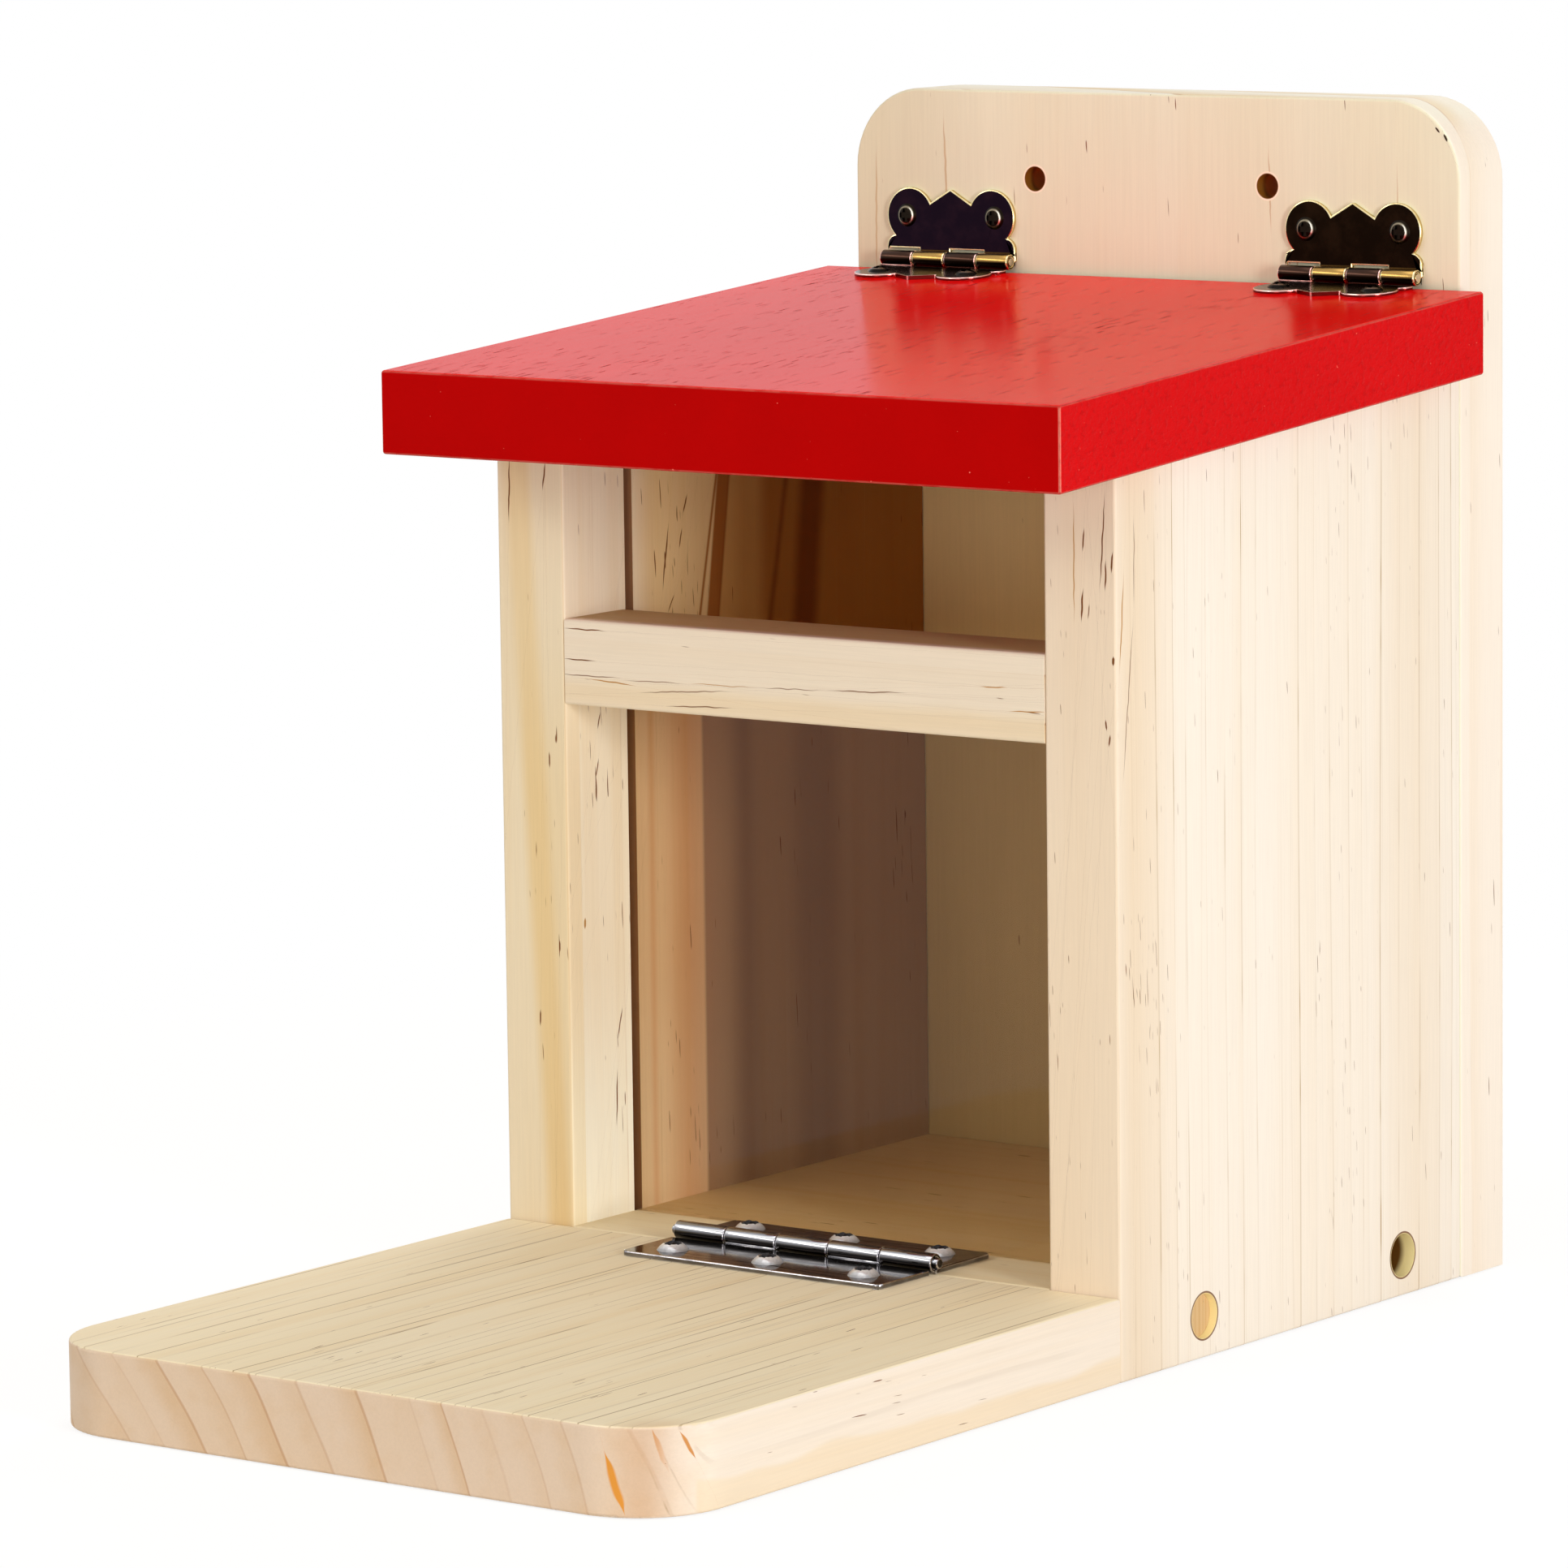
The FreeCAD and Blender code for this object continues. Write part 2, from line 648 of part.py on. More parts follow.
def countersunk_screw(name, head_radius, head_height, shank_radius, length):
    """A flat-headed screw, drawn with the top of its head at the origin."""
    body = turned_body(f"{name}_blank", [
        (0, -length),
        (shank_radius, sizes.screw_tip - length),
        (shank_radius, -head_height),
        (head_radius, 0),
        (0, 0),
    ])
    return cut(name, body, cross_recess(name, head_radius, head_height, as_size(0)))


def screw_group(label, screw, places, along, y=0, z=0, tilt=0):
    """Copies of one screw, each with its head's underside at a place, pointing along an axis."""
    shapes = []
    for spot in places:
        copy = screw.Shape.copy()
        copy.Placement = FreeCAD.Placement(vector(*spot), TURNS[along])
        shapes.append(copy)
    group_of_solids(label, shapes, y, z, tilt)


# Hinges, each leaf drawn with its barrel's axis on X and its plate below that axis

def leaf_barrels(name, width, radius, owned, count):
    """The leaf's own knuckles along the axis."""
    pitch = width / count
    length = pitch - sizes.knuckle_gap
    barrels = []
    for index in owned:
        start = pitch * index - width / 2 + sizes.knuckle_gap / 2
        barrels.append(rod(f"{name}_knuckle_{index}", radius, length, (start, 0, 0), "+X"))
    return barrels


def leaf_notches(name, width, radius, owned, count, rise, side):
    """Room in the plate for the other leaf's knuckles."""
    pitch = width / count
    reach = radius + sizes.notch_play
    notches = []
    for index in range(count):
        if index in owned:
            continue
        start = pitch * index - width / 2 - sizes.knuckle_gap / 2
        length = pitch + sizes.knuckle_gap
        low_y = 0 if side > 0 else -reach
        notches.append(box(f"{name}_notch_{index}", (start, low_y, -rise), (length, reach, rise)))
    return notches


def leaf_holes(name, spots, radius, rise):
    """Holes for the screws through the plate."""
    return [
        rod(f"{name}_hole_{index}", radius + sizes.leaf_hole_play, rise, (x, y, -rise), "+Z")
        for index, (x, y) in enumerate(spots)
    ]


def make_roof_leaf(label, side, owned, x, tilt):
    """A decorative leaf: two round lobes, a pointed middle, shoulders and its knuckles."""
    plate = sizes.roof_leaf_thickness
    rise = roof_axis_rise
    half = sizes.roof_hinge_width / 2
    shoulder_x = half - sizes.shoulder_radius
    upper_outline = [
        (sizes.lobe_offset, sizes.lobe_reach),
        (sizes.valley_offset, sizes.valley_reach),
        (as_size(0), sizes.peak_reach),
        (-sizes.valley_offset, sizes.valley_reach),
        (-sizes.lobe_offset, sizes.lobe_reach),
        (-shoulder_x, sizes.shoulder_radius),
        (shoulder_x, sizes.shoulder_radius),
    ]
    corners = [(px, py * side) for px, py in upper_outline]
    pieces = [padded_body(f"{label}_middle", "XY_Plane", corners, plate, -rise)]
    base_y = 0 if side > 0 else -sizes.shoulder_radius
    pieces.append(box(f"{label}_base", (-half, base_y, -rise), (half * 2, sizes.shoulder_radius, plate)))
    for end in (-1, 1):
        lobe = (sizes.lobe_offset * end, sizes.lobe_reach * side, -rise)
        shoulder = (shoulder_x * end, sizes.shoulder_radius * side, -rise)
        pieces.append(rod(f"{label}_lobe_{end + 2}", sizes.lobe_radius, plate, lobe, "+Z"))
        pieces.append(rod(f"{label}_shoulder_{end + 2}", sizes.shoulder_radius, plate, shoulder, "+Z"))
    pieces += leaf_barrels(label, half * 2, sizes.roof_barrel_radius, owned, ROOF_KNUCKLES)
    tools = leaf_notches(label, half * 2, sizes.roof_barrel_radius, owned, ROOF_KNUCKLES, rise, side)
    bore = sizes.roof_pin_radius + sizes.pin_play
    tools.append(rod(f"{label}_bore", bore, half * 2, (-half, 0, 0), "+X"))
    row_y = sizes.roof_screw_reach * side
    spots = [(sizes.roof_screw_offset * end, row_y) for end in (-1, 1)]
    tools += leaf_holes(label, spots, sizes.roof_screw_radius, rise)
    leaf = cut(f"{label}_cut", fuse(f"{label}_whole", pieces), tools)
    finish(leaf, label, roof_axis_y, roof_axis_z, x, tilt)


def make_deck_leaf(label, side, owned):
    """A plain butt-hinge leaf with rounded outer corners and its knuckles."""
    plate = sizes.deck_leaf_thickness
    rise = deck_axis_rise
    half = sizes.deck_hinge_width / 2
    corner = sizes.deck_leaf_corner
    reach = sizes.deck_leaf_reach
    if side > 0:
        outline = [
            (-half, 0),
            (half, 0),
            (half, reach - corner, corner),
            (half - corner, reach),
            (corner - half, reach, corner),
            (-half, reach - corner),
        ]
    else:
        outline = [
            (half, 0),
            (-half, 0),
            (-half, corner - reach, corner),
            (corner - half, -reach),
            (half - corner, -reach, corner),
            (half, corner - reach),
        ]
    pieces = [padded_body(f"{label}_plate", "XY_Plane", outline, plate, -rise)]
    pieces += leaf_barrels(label, half * 2, sizes.deck_barrel_radius, owned, DECK_KNUCKLES)
    tools = leaf_notches(label, half * 2, sizes.deck_barrel_radius, owned, DECK_KNUCKLES, rise, side)
    bore = sizes.deck_pin_radius + sizes.pin_play
    tools.append(rod(f"{label}_bore", bore, half * 2, (-half, 0, 0), "+X"))
    spots = [(x, sizes.deck_screw_reach * side) for x in deck_screw_spots()]
    tools += leaf_holes(label, spots, sizes.deck_screw_radius, rise)
    leaf = cut(f"{label}_cut", fuse(f"{label}_whole", pieces), tools)
    finish(leaf, label, deck_axis_y, deck_axis_z)


def make_pin(label, radius, length, middle):
    """A hinge pin, placed by its middle."""
    x, y, z = middle
    finish(rod(label, radius, length, (0, 0, 0), "+X"), label, y, z, x - length / 2)


def make_hinges():
    right_angle = as_size(90)
    for side, name in ((-1, "left"), (1, "right")):
        x = sizes.roof_hinge_offset * side
        make_roof_leaf(f"{name}_hinge_back_leaf", 1, (1, 3), x, right_angle)
        make_roof_leaf(f"{name}_hinge_roof_leaf", -1, (0, 2), x, sizes.roof_pitch)
        middle = (x, roof_axis_y, roof_axis_z)
        make_pin(f"{name}_hinge_pin", sizes.roof_pin_radius, sizes.roof_hinge_width, middle)
    make_deck_leaf("deck_hinge_floor_leaf", 1, (0, 2, 4))
    make_deck_leaf("deck_hinge_deck_leaf", -1, (1, 3))
    pin_length = sizes.deck_hinge_width + sizes.deck_pin_overhang * 2
    middle = (as_size(0), deck_axis_y, deck_axis_z)
    make_pin("deck_hinge_pin", sizes.deck_pin_radius, pin_length, middle)


def make_screws():
    roof_screw = domed_screw(
        "roof_hinge_screw", sizes.roof_head_radius, sizes.roof_head_height,
        sizes.roof_screw_radius, sizes.roof_screw_length,
    )
    deck_screw = domed_screw(
        "deck_hinge_screw", sizes.deck_head_radius, sizes.deck_head_height,
        sizes.deck_screw_radius, sizes.deck_screw_length,
    )
    side_screw = domed_screw(
        "side_wood_screw", sizes.side_head_radius, sizes.side_head_height,
        sizes.side_screw_radius, sizes.side_screw_length,
    )
    back_screw = countersunk_screw(
        "back_wood_screw", sizes.back_head_radius, sizes.back_head_height,
        sizes.back_screw_radius, sizes.back_screw_length,
    )
    doc.recompute()
    plate = sizes.roof_leaf_thickness
    for side, name in ((-1, "left"), (1, "right")):
        centres = [sizes.roof_hinge_offset * side + sizes.roof_screw_offset * end for end in (-1, 1)]
        back_row = [(x, sizes.side_depth - plate, roof_axis_z + sizes.roof_screw_reach) for x in centres]
        screw_group(f"{name}_back_leaf_screws", roof_screw, back_row, "-Y")
        roof_row = [(x, -roof_axis_inset - sizes.roof_screw_reach, plate) for x in centres]
        screw_group(
            f"{name}_roof_leaf_screws", roof_screw, roof_row, "+Z",
            roof_rear_y, roof_rear_z, sizes.roof_pitch,
        )
        seat_x = (half_width - sizes.counterbore_depth) * side
        side_row = [(seat_x, y, floor_middle_z) for y in side_screw_rows]
        screw_group(f"{name}_side_screws", side_screw, side_row, "+X" if side > 0 else "-X")
    seat_z = board + sizes.deck_leaf_thickness
    for name, side in (("floor_leaf_screws", 1), ("deck_leaf_screws", -1)):
        row = [(x, deck_axis_y + sizes.deck_screw_reach * side, seat_z) for x in deck_screw_spots()]
        screw_group(name, deck_screw, row, "+Z")
    head_y = back_y - sizes.back_screw_sink
    screw_group("back_screws", back_screw, [(x, head_y, z) for x, z in back_screw_spots()], "+Y")


make_back_board()
make_side_panel(-1, "left_side_panel")
make_side_panel(1, "right_side_panel")
make_floor_board()
make_crossbar()
make_roof_board()
make_deck_board()
make_window_panel()
make_crossbar_dowels()
make_side_plug(-1, "left_side_plug")
make_side_plug(1, "right_side_plug")
make_hinges()
make_screws()
doc.recompute()

# Every object has to be sound before anything is written.
for thing in doc.Objects:
    if {"Invalid", "Error"} & set(thing.State):
        raise RuntimeError(f"{thing.Label} failed: {thing.State}")
for piece in sub_parts:
    if piece.Shape.isNull() or not piece.Shape.isValid():
        raise RuntimeError(f"{piece.Label} has no valid shape")

os.makedirs("parts", exist_ok=True)
for piece in sub_parts:
    piece.Shape.exportStep(f"parts/{piece.Label}.step")
    bounds = piece.Shape.BoundBox
    print(
        f"{piece.Label}: {len(piece.Shape.Solids)} solids, {piece.Shape.Volume:.1f} mm3,"
        f" x {bounds.XMin:.2f} {bounds.XMax:.2f}, y {bounds.YMin:.2f} {bounds.YMax:.2f},"
        f" z {bounds.ZMin:.2f} {bounds.ZMax:.2f}"
    )
print(f"{len(sub_parts)} sub-parts")
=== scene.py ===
import json
import math

import bpy
from mathutils import Matrix, Vector

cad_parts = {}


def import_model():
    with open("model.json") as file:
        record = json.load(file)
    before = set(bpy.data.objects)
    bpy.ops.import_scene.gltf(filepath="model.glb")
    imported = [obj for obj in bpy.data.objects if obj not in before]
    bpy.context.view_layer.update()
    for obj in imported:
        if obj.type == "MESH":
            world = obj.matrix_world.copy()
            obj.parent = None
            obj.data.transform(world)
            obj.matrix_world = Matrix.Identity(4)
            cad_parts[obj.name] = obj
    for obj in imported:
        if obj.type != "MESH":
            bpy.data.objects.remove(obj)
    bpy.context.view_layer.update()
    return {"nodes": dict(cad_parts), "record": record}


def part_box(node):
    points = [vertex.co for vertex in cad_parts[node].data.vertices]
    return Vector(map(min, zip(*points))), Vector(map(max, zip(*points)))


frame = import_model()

# A pine squirrel feeder with a red lift-up roof, a clear sliding front, two bronzed hinges and
# a bright butt hinge on its deck. Metres, with X to the right of someone facing the front,
# Y from the front towards the wall, and Z up.

NODES = frame["nodes"]
MM = 0.001
AXES = "XYZ"

# The camera stands to the right of the front and a little above the roof
CAMERA_PLACE = Vector((0.82127, -1.10174, 0.28831))
CAMERA_AZIMUTH = math.radians(36.77)
CAMERA_ELEVATION = math.radians(7.8)
CAMERA_ROLL = math.radians(-0.72)
SENSOR_WIDTH = 36.0
LENS = 180.98
CLIP_NEAR = 0.05
CLIP_FAR = 100.0

# Plain light from all round, slightly warm
AMBIENT = 0.42
AMBIENT_COLOUR = (1.0, 0.955, 0.90, 1.0)
WHITE = (1.0, 1.0, 1.0, 1.0)

# Lamps: name, azimuth and elevation in degrees, distance, width and height, level and colour
LAMPS = [
    ("key", 69.5, 6, 1.4, (0.28, 0.6), 0.645, (1.0, 0.99, 0.97)),
    ("fill", -40, 28, 1.5, (1.3, 0.3), 0.22, (1.0, 0.95, 0.88)),
    ("front", 12, 3, 1.5, (0.5, 0.3), 0.11, (1.0, 0.95, 0.88)),
    ("overhead", 10, 78, 1.5, (1.2, 1.0), 0.22, (1.0, 0.98, 0.95)),
    ("rear", 192, 20, 1.5, (0.7, 0.5), 0.3, (1.0, 0.95, 0.9)),
]
LAMP_TARGET = Vector((0, 0, 0.09))

# The white floor: its half width, how far it lies under the box, where its shadow fades out,
# how much of the shadow it keeps, how brightly the lamps light it, and the grey that it casts
FLOOR_HALF = 4.0
FLOOR_DROP = 0.2 * MM
SHADOW_FADE = (0.25, 0.5)
SHADOW_SHARE = 0.2
FLOOR_LIT_LEVEL = 0.8
FLOOR_GREY = (0.8, 0.8, 0.8, 1.0)

ROOF_PITCH = math.radians(4.3)

# How squarely a face looks along an axis where its own look begins, and where it is full
END_FACING = (0.55, 0.85)
FACE_SHADING_FACING = (0.5, 0.85)
STROKE_FACING = (0.55, 0.8)
SIDE_PAINT_FACING = (0.5, 0.8)
FLAT_FACING = (0.6, 0.9)


def srgb(red, green, blue):
    """A colour as it is seen, with 255 for white, as the shaders' linear values. In a tint, a
    part over 255 makes the wood lighter."""
    def linear(value):
        share = value / 255
        if share <= 0.04045:
            return share / 12.92
        return ((share + 0.055) / 1.055) ** 2.4
    return (linear(red), linear(green), linear(blue), 1.0)


def evenly(scale):
    return (scale, scale, scale)


GRAINY = {"detail": 2.0, "roughness": 0.6}
CLOUDY = {"detail": 3.0, "roughness": 0.6}


class Graph:
    """A node tree, built one node at a time. Values are numbers, colours or sockets."""

    def __init__(self, tree):
        self.tree = tree
        self.tree.nodes.clear()

    def node(self, kind, inputs=None, **settings):
        node = self.tree.nodes.new(kind)
        for name, value in settings.items():
            setattr(node, name, value)
        for name, value in (inputs or {}).items():
            self.feed(node.inputs[name], value)
        return node

    def feed(self, socket, value):
        if isinstance(value, bpy.types.NodeSocket):
            self.tree.links.new(value, socket)
        else:
            socket.default_value = value

    def output(self, shader, kind="ShaderNodeOutputMaterial"):
        self.node(kind, {"Surface": shader})

    def maths(self, operation, first, second=0.0, clamp=False):
        node = self.node("ShaderNodeMath", {0: first, 1: second}, operation=operation)
        node.use_clamp = clamp
        return node.outputs[0]

    def plus(self, first, second):
        return self.maths("ADD", first, second)

    def minus(self, first, second):
        return self.maths("SUBTRACT", first, second)

    def over(self, first, second):
        return self.maths("DIVIDE", first, second)

    def absolute(self, value):
        return self.maths("ABSOLUTE", value)

    def times(self, *values):
        product = values[0]
        for value in values[1:]:
            product = self.maths("MULTIPLY", product, value)
        return product

    def steps(self, value, low, high, from_low=0.0, from_high=1.0):
        """A value carried smoothly from one range to another, and held at its ends."""
        node = self.node("ShaderNodeMapRange", {
            "Value": value, "From Min": low, "From Max": high,
            "To Min": from_low, "To Max": from_high,
        }, interpolation_type="SMOOTHSTEP")
        return node.outputs["Result"]

    def fades(self, value, low, high):
        """1 up to low, and 0 from high on."""
        return self.steps(value, low, high, 1.0, 0.0)

    def band(self, value, low, high, soft):
        """1 between low and high, with soft ends."""
        rise = self.steps(value, low - soft, low + soft)
        return self.times(rise, self.fades(value, high - soft, high + soft))

    def mix(self, share, first, second, blend="MIX"):
        # Inputs 6 and 7 and output 2 are this node's colours
        node = self.node(
            "ShaderNodeMix", {0: share, 6: first, 7: second}, data_type="RGBA", blend_type=blend,
        )
        return node.outputs[2]

    def between(self, share, first, second):
        """A number that runs from the first to the second."""
        return self.node("ShaderNodeMix", {0: share, 2: first, 3: second}).outputs[0]

    def tinted(self, colour, tint):
        return self.mix(1.0, colour, tint, "MULTIPLY")

    def mix_shaders(self, share, first, second):
        inputs = {0: share, 1: first.outputs[0], 2: second.outputs[0]}
        return self.node("ShaderNodeMixShader", inputs).outputs[0]

    def grey(self, value):
        return self.node("ShaderNodeCombineColor", {0: value, 1: value, 2: value}).outputs[0]

    def vector(self, operation, *places):
        inputs = dict(enumerate(places))
        return self.node("ShaderNodeVectorMath", inputs, operation=operation).outputs

    def stretch(self, place, factors, offset=(0, 0, 0)):
        """A place scaled by its own factor on each axis, after a shift."""
        moved = self.vector("ADD", place, offset)[0]
        return self.vector("MULTIPLY", moved, factors)[0]

    def noise(self, place, scales, offset=(0, 0, 0), detail=2.0, roughness=0.5):
        """Noise from 0 to 1, with its own scale on each axis."""
        node = self.node("ShaderNodeTexNoise", {
            "Vector": self.stretch(place, scales, offset), "Scale": 1.0, "Detail": detail,
            "Roughness": roughness,
        })
        return node.outputs["Fac"]

    def ramp(self, value, stops):
        """A colour that runs through stops, each a place from 0 to 1 and a colour."""
        node = self.node("ShaderNodeValToRGB", {"Fac": value})
        elements = node.color_ramp.elements
        for element, (position, colour) in zip(elements, (stops[0], stops[-1])):
            element.position = position
            element.color = srgb(*colour)
        for position, colour in stops[1:-1]:
            elements.new(position).color = srgb(*colour)
        return node.outputs["Color"]

    def length(self, place):
        return self.vector("LENGTH", place)["Value"]

    def split(self, place):
        return self.node("ShaderNodeSeparateXYZ", {0: place}).outputs

    def bump(self, height, depth, strength=1.0, normal=None):
        inputs = {"Height": height, "Distance": depth, "Strength": strength}
        if normal is not None:
            inputs["Normal"] = normal
        return self.node("ShaderNodeBump", inputs).outputs["Normal"]

    def place(self):
        return self.node("ShaderNodeTexCoord").outputs["Object"]

    def outward(self):
        return self.node("ShaderNodeTexCoord").outputs["Normal"]

    def facing(self, axis, sign=0):
        """How squarely a face looks along an axis: both ways, or only towards its sign."""
        part = self.split(self.outward())[AXES.index(axis)]
        return self.times(part, sign) if sign else self.absolute(part)


def blank(name):
    """A new material and the graph that fills it."""
    material = bpy.data.materials.new(name)
    material.use_nodes = True
    return material, Graph(material.node_tree)


def surface(name, build, **shader):
    """A material whose colour, roughness and relief come from build."""
    material, graph = blank(name)
    values = {**shader, **build(graph)}
    inputs = {socket.replace("_", " "): value for socket, value in values.items()}
    graph.output(graph.node("ShaderNodeBsdfPrincipled", inputs).outputs[0])
    return material


# Wood

# Noise scales in waves for each metre, the third along the grain or, for patches, upwards
RING_WANDER = (24, 24, 4.5)
FLECK_GROUPS = (55, 55, 16)
PATCH_EDGES = (40, 40, 9)
STROKE_SWAY = (300, 300, 300)
FIBRE = (2400, 2400, 60)
STREAKS = (260, 260, 6)
ZONES = (38, 38, 5)
LINE_BREAKS = (260, 260, 22)
LINE_DEPTHS = (220, 220, 45)

# Where a noise begins to show and where it is full, then the shares there if not 0 and 1
ZONE_RANGE = (0.32, 0.68, 0.0, 0.45)
STREAK_RANGE = (0.45, 0.75)
LINE_DEPTH_RANGE = (0.52, 0.66, 0.4, 1.0)
FIBRE_TONE_RANGE = (0.3, 0.7, 0.98, 1.015)
WOOD_ROUGHNESS_RANGE = (0.2, 0.8, 0.52, 0.7)

# How far from a ring's dark edge its line is full and where it ends, and the share of a
# board's own line width that is full
HAIR_WIDTH = (0.05 * MM, 0.2 * MM)
END_LINE_WIDTH = (0.1 * MM, 0.35 * MM)
LINE_CORE = 0.35

# Shares of the fibre and the flecks in the relief, and the relief's depth and strength
FIBRE_HEIGHT = 0.5
FLECK_HEIGHT = -0.4
WOOD_RELIEF = (0.05 * MM, 0.6)

STREAK_TINT = srgb(242, 224, 188)
LATE_WOOD_TINT = srgb(240, 220, 186)
FLECK_COLOUR = srgb(116, 64, 16)
FLECK_SHARE = 0.95
HAIR_SEED_STEP = 11
WOOD_SPECULAR = 0.12


def grain_order(graph, vector, grain):
    """A vector with its first two parts across the grain and the third along it."""
    parts = graph.split(vector)
    order = {"X": (1, 2, 0), "Y": (0, 2, 1), "Z": (0, 1, 2)}[grain]
    return graph.node("ShaderNodeCombineXYZ", {i: parts[order[i]] for i in range(3)}).outputs[0]


def grain_place(graph, grain, pitch=0.0):
    """Object coordinates with the first two across the grain and the third along it."""
    place = graph.place()
    if pitch:
        turned = graph.node("ShaderNodeMapping", {"Vector": place, "Rotation": (-pitch, 0, 0)})
        place = turned.outputs[0]
    return grain_order(graph, place, grain)


def from_pith(graph, place, pith):
    """The way from the tree's middle to a place, across the grain."""
    return graph.stretch(place, (1, 1, 0), (-pith[0], -pith[1], 0))


def squarely_cut(graph, place, grain, pith):
    """1 where the rings meet the surface squarely, and near 0 where it lies along them."""
    slanting, flat, least = 0.75, 0.98, 0.1
    radial = graph.vector("NORMALIZE", from_pith(graph, place, pith))[0]
    outward = grain_order(graph, graph.outward(), grain)
    along = graph.vector("DOT_PRODUCT", radial, outward)["Value"]
    return graph.steps(graph.absolute(along), slanting, flat, 1.0, least)


def growth_rings(graph, place, pith, spacing, wave, seed):
    """The late wood of each ring, from 0 to 1, the distance to the ring's dark edge, and how
    strong the ring is."""
    late_from, late_to, ring_end, dark_edge = 0.3, 0.93, 0.995, 0.955
    uneven_rate, uneven_turns, least_vigour = 0.31, 1.8, 0.25
    wander = graph.noise(place, RING_WANDER, (seed, 0, 0), detail=1.0)
    reach = graph.length(from_pith(graph, place, pith))
    uneven = graph.node("ShaderNodeTexNoise", {
        "W": graph.times(reach, uneven_rate / spacing), "Scale": 1.0, "Detail": 1.0,
    }, noise_dimensions="1D")
    bent = graph.plus(reach, graph.times(wander, wave))
    turns = graph.plus(graph.over(bent, spacing), graph.times(uneven.outputs[0], uneven_turns))
    phase = graph.maths("FRACT", turns)
    index = graph.maths("FLOOR", turns)
    own = graph.node("ShaderNodeTexWhiteNoise", {"W": index}, noise_dimensions="1D")
    vigour = graph.steps(own.outputs["Value"], 0.0, 1.0, least_vigour, 1.0)
    rise = graph.steps(phase, late_from, late_to)
    fall = graph.fades(phase, late_to, ring_end)
    away = graph.absolute(graph.minus(phase, dark_edge))
    return graph.times(rise, fall, vigour), graph.times(away, spacing), vigour


def flecks(graph, place, seed, size, amount):
    """Short dark marks along the grain, where the saw has opened resin ducts."""
    width, length = size
    lean, soft, level_step = 0.05, 0.04, 0.05
    group_range, bare_level, grouped_level = (0.45, 0.75), 0.86, 0.78
    shift = graph.times(graph.split(place)[2], lean)
    sideways = graph.node("ShaderNodeCombineXYZ", {0: shift, 1: shift}).outputs[0]
    leant = graph.vector("ADD", place, sideways)[0]
    fine_scale = (1 / width, 1 / width, 1 / length)
    fine = graph.noise(leant, fine_scale, (seed, seed, 0), detail=0.0)
    groups = graph.noise(place, FLECK_GROUPS, (0, seed, seed), detail=1.0)
    level = graph.steps(groups, *group_range, bare_level, grouped_level)
    level = graph.minus(level, graph.times(amount, level_step))
    return graph.steps(graph.minus(fine, level), 0.0, soft)


def patch_mask(graph, place, limits):
    """1 inside the limits on each axis: lowest, highest, softness, how far they wander and,
    where they lean, by how much for each metre up from a level."""
    waves = graph.noise(place, PATCH_EDGES, detail=1.0)
    parts = graph.split(place)
    masks = []
    for axis, (low, high, soft, wander, *lean) in limits.items():
        shift = graph.times(graph.minus(waves, 0.5), wander)
        value = graph.plus(parts[AXES.index(axis)], shift)
        if lean:
            slope, level = lean
            value = graph.minus(value, graph.times(graph.minus(parts[2], level), slope))
        masks.append(graph.band(value, low, high, soft))
    return graph.times(*masks)


def stroke_mask(graph, place, stroke):
    """1 on one thin mark: the face it is on, its two ends, each along and then across that
    face, and its width. It sways a little, and it thins towards its ends."""
    (face, side, along, across), (first, first_off), (last, last_off), width = stroke
    most_sway, least_width = 0.5 * MM, 0.01 * MM
    taper_from, tip, core, rim = 0.15, 0.5, 0.25, 0.6
    parts = graph.split(place)
    share = graph.over(graph.minus(parts[AXES.index(along)], first), last - first)
    centre = graph.plus(graph.times(share, last_off - first_off), first_off)
    sway = graph.noise(place, STROKE_SWAY, detail=1.0)
    swayed = graph.plus(centre, graph.times(graph.minus(sway, 0.5), most_sway))
    away = graph.absolute(graph.minus(parts[AXES.index(across)], swayed))
    from_middle = graph.absolute(graph.minus(share, 0.5))
    taper = graph.steps(from_middle, taper_from, tip, width, 0.0)
    thin = graph.fades(graph.over(away, graph.plus(taper, least_width)), core, rim)
    return graph.times(thin, graph.steps(graph.facing(face, side), *STROKE_FACING))


def drilled(graph, place, colour, bore):
    """The colour with a drilled hole's rim, its wall by the mouth and its wall deep inside, whose
    wall tones are painted light and shade.
    """
    axis, centre, radius, mouth, rim, wall, deep = bore
    rim_width, rim_share, wall_width, soft = 0.4 * MM, 0.9, 0.06 * MM, 0.1 * MM
    deep_from, deep_to = 1.8 * MM, 3.4 * MM
    keep = [0.0 if name == axis else 1.0 for name in AXES]
    from_axis = graph.length(graph.stretch(place, keep, [-value for value in centre]))
    depth = graph.absolute(graph.minus(graph.split(place)[AXES.index(axis)], mouth))
    lining = graph.mix(graph.steps(depth, deep_from, deep_to), srgb(*wall), srgb(*deep))
    for width, tone, share in ((rim_width, srgb(*rim), rim_share), (wall_width, lining, 1.0)):
        mask = graph.steps(from_axis, radius + width, radius + width + soft, share, 0.0)
        colour = graph.mix(mask, colour, tone)
    return colour


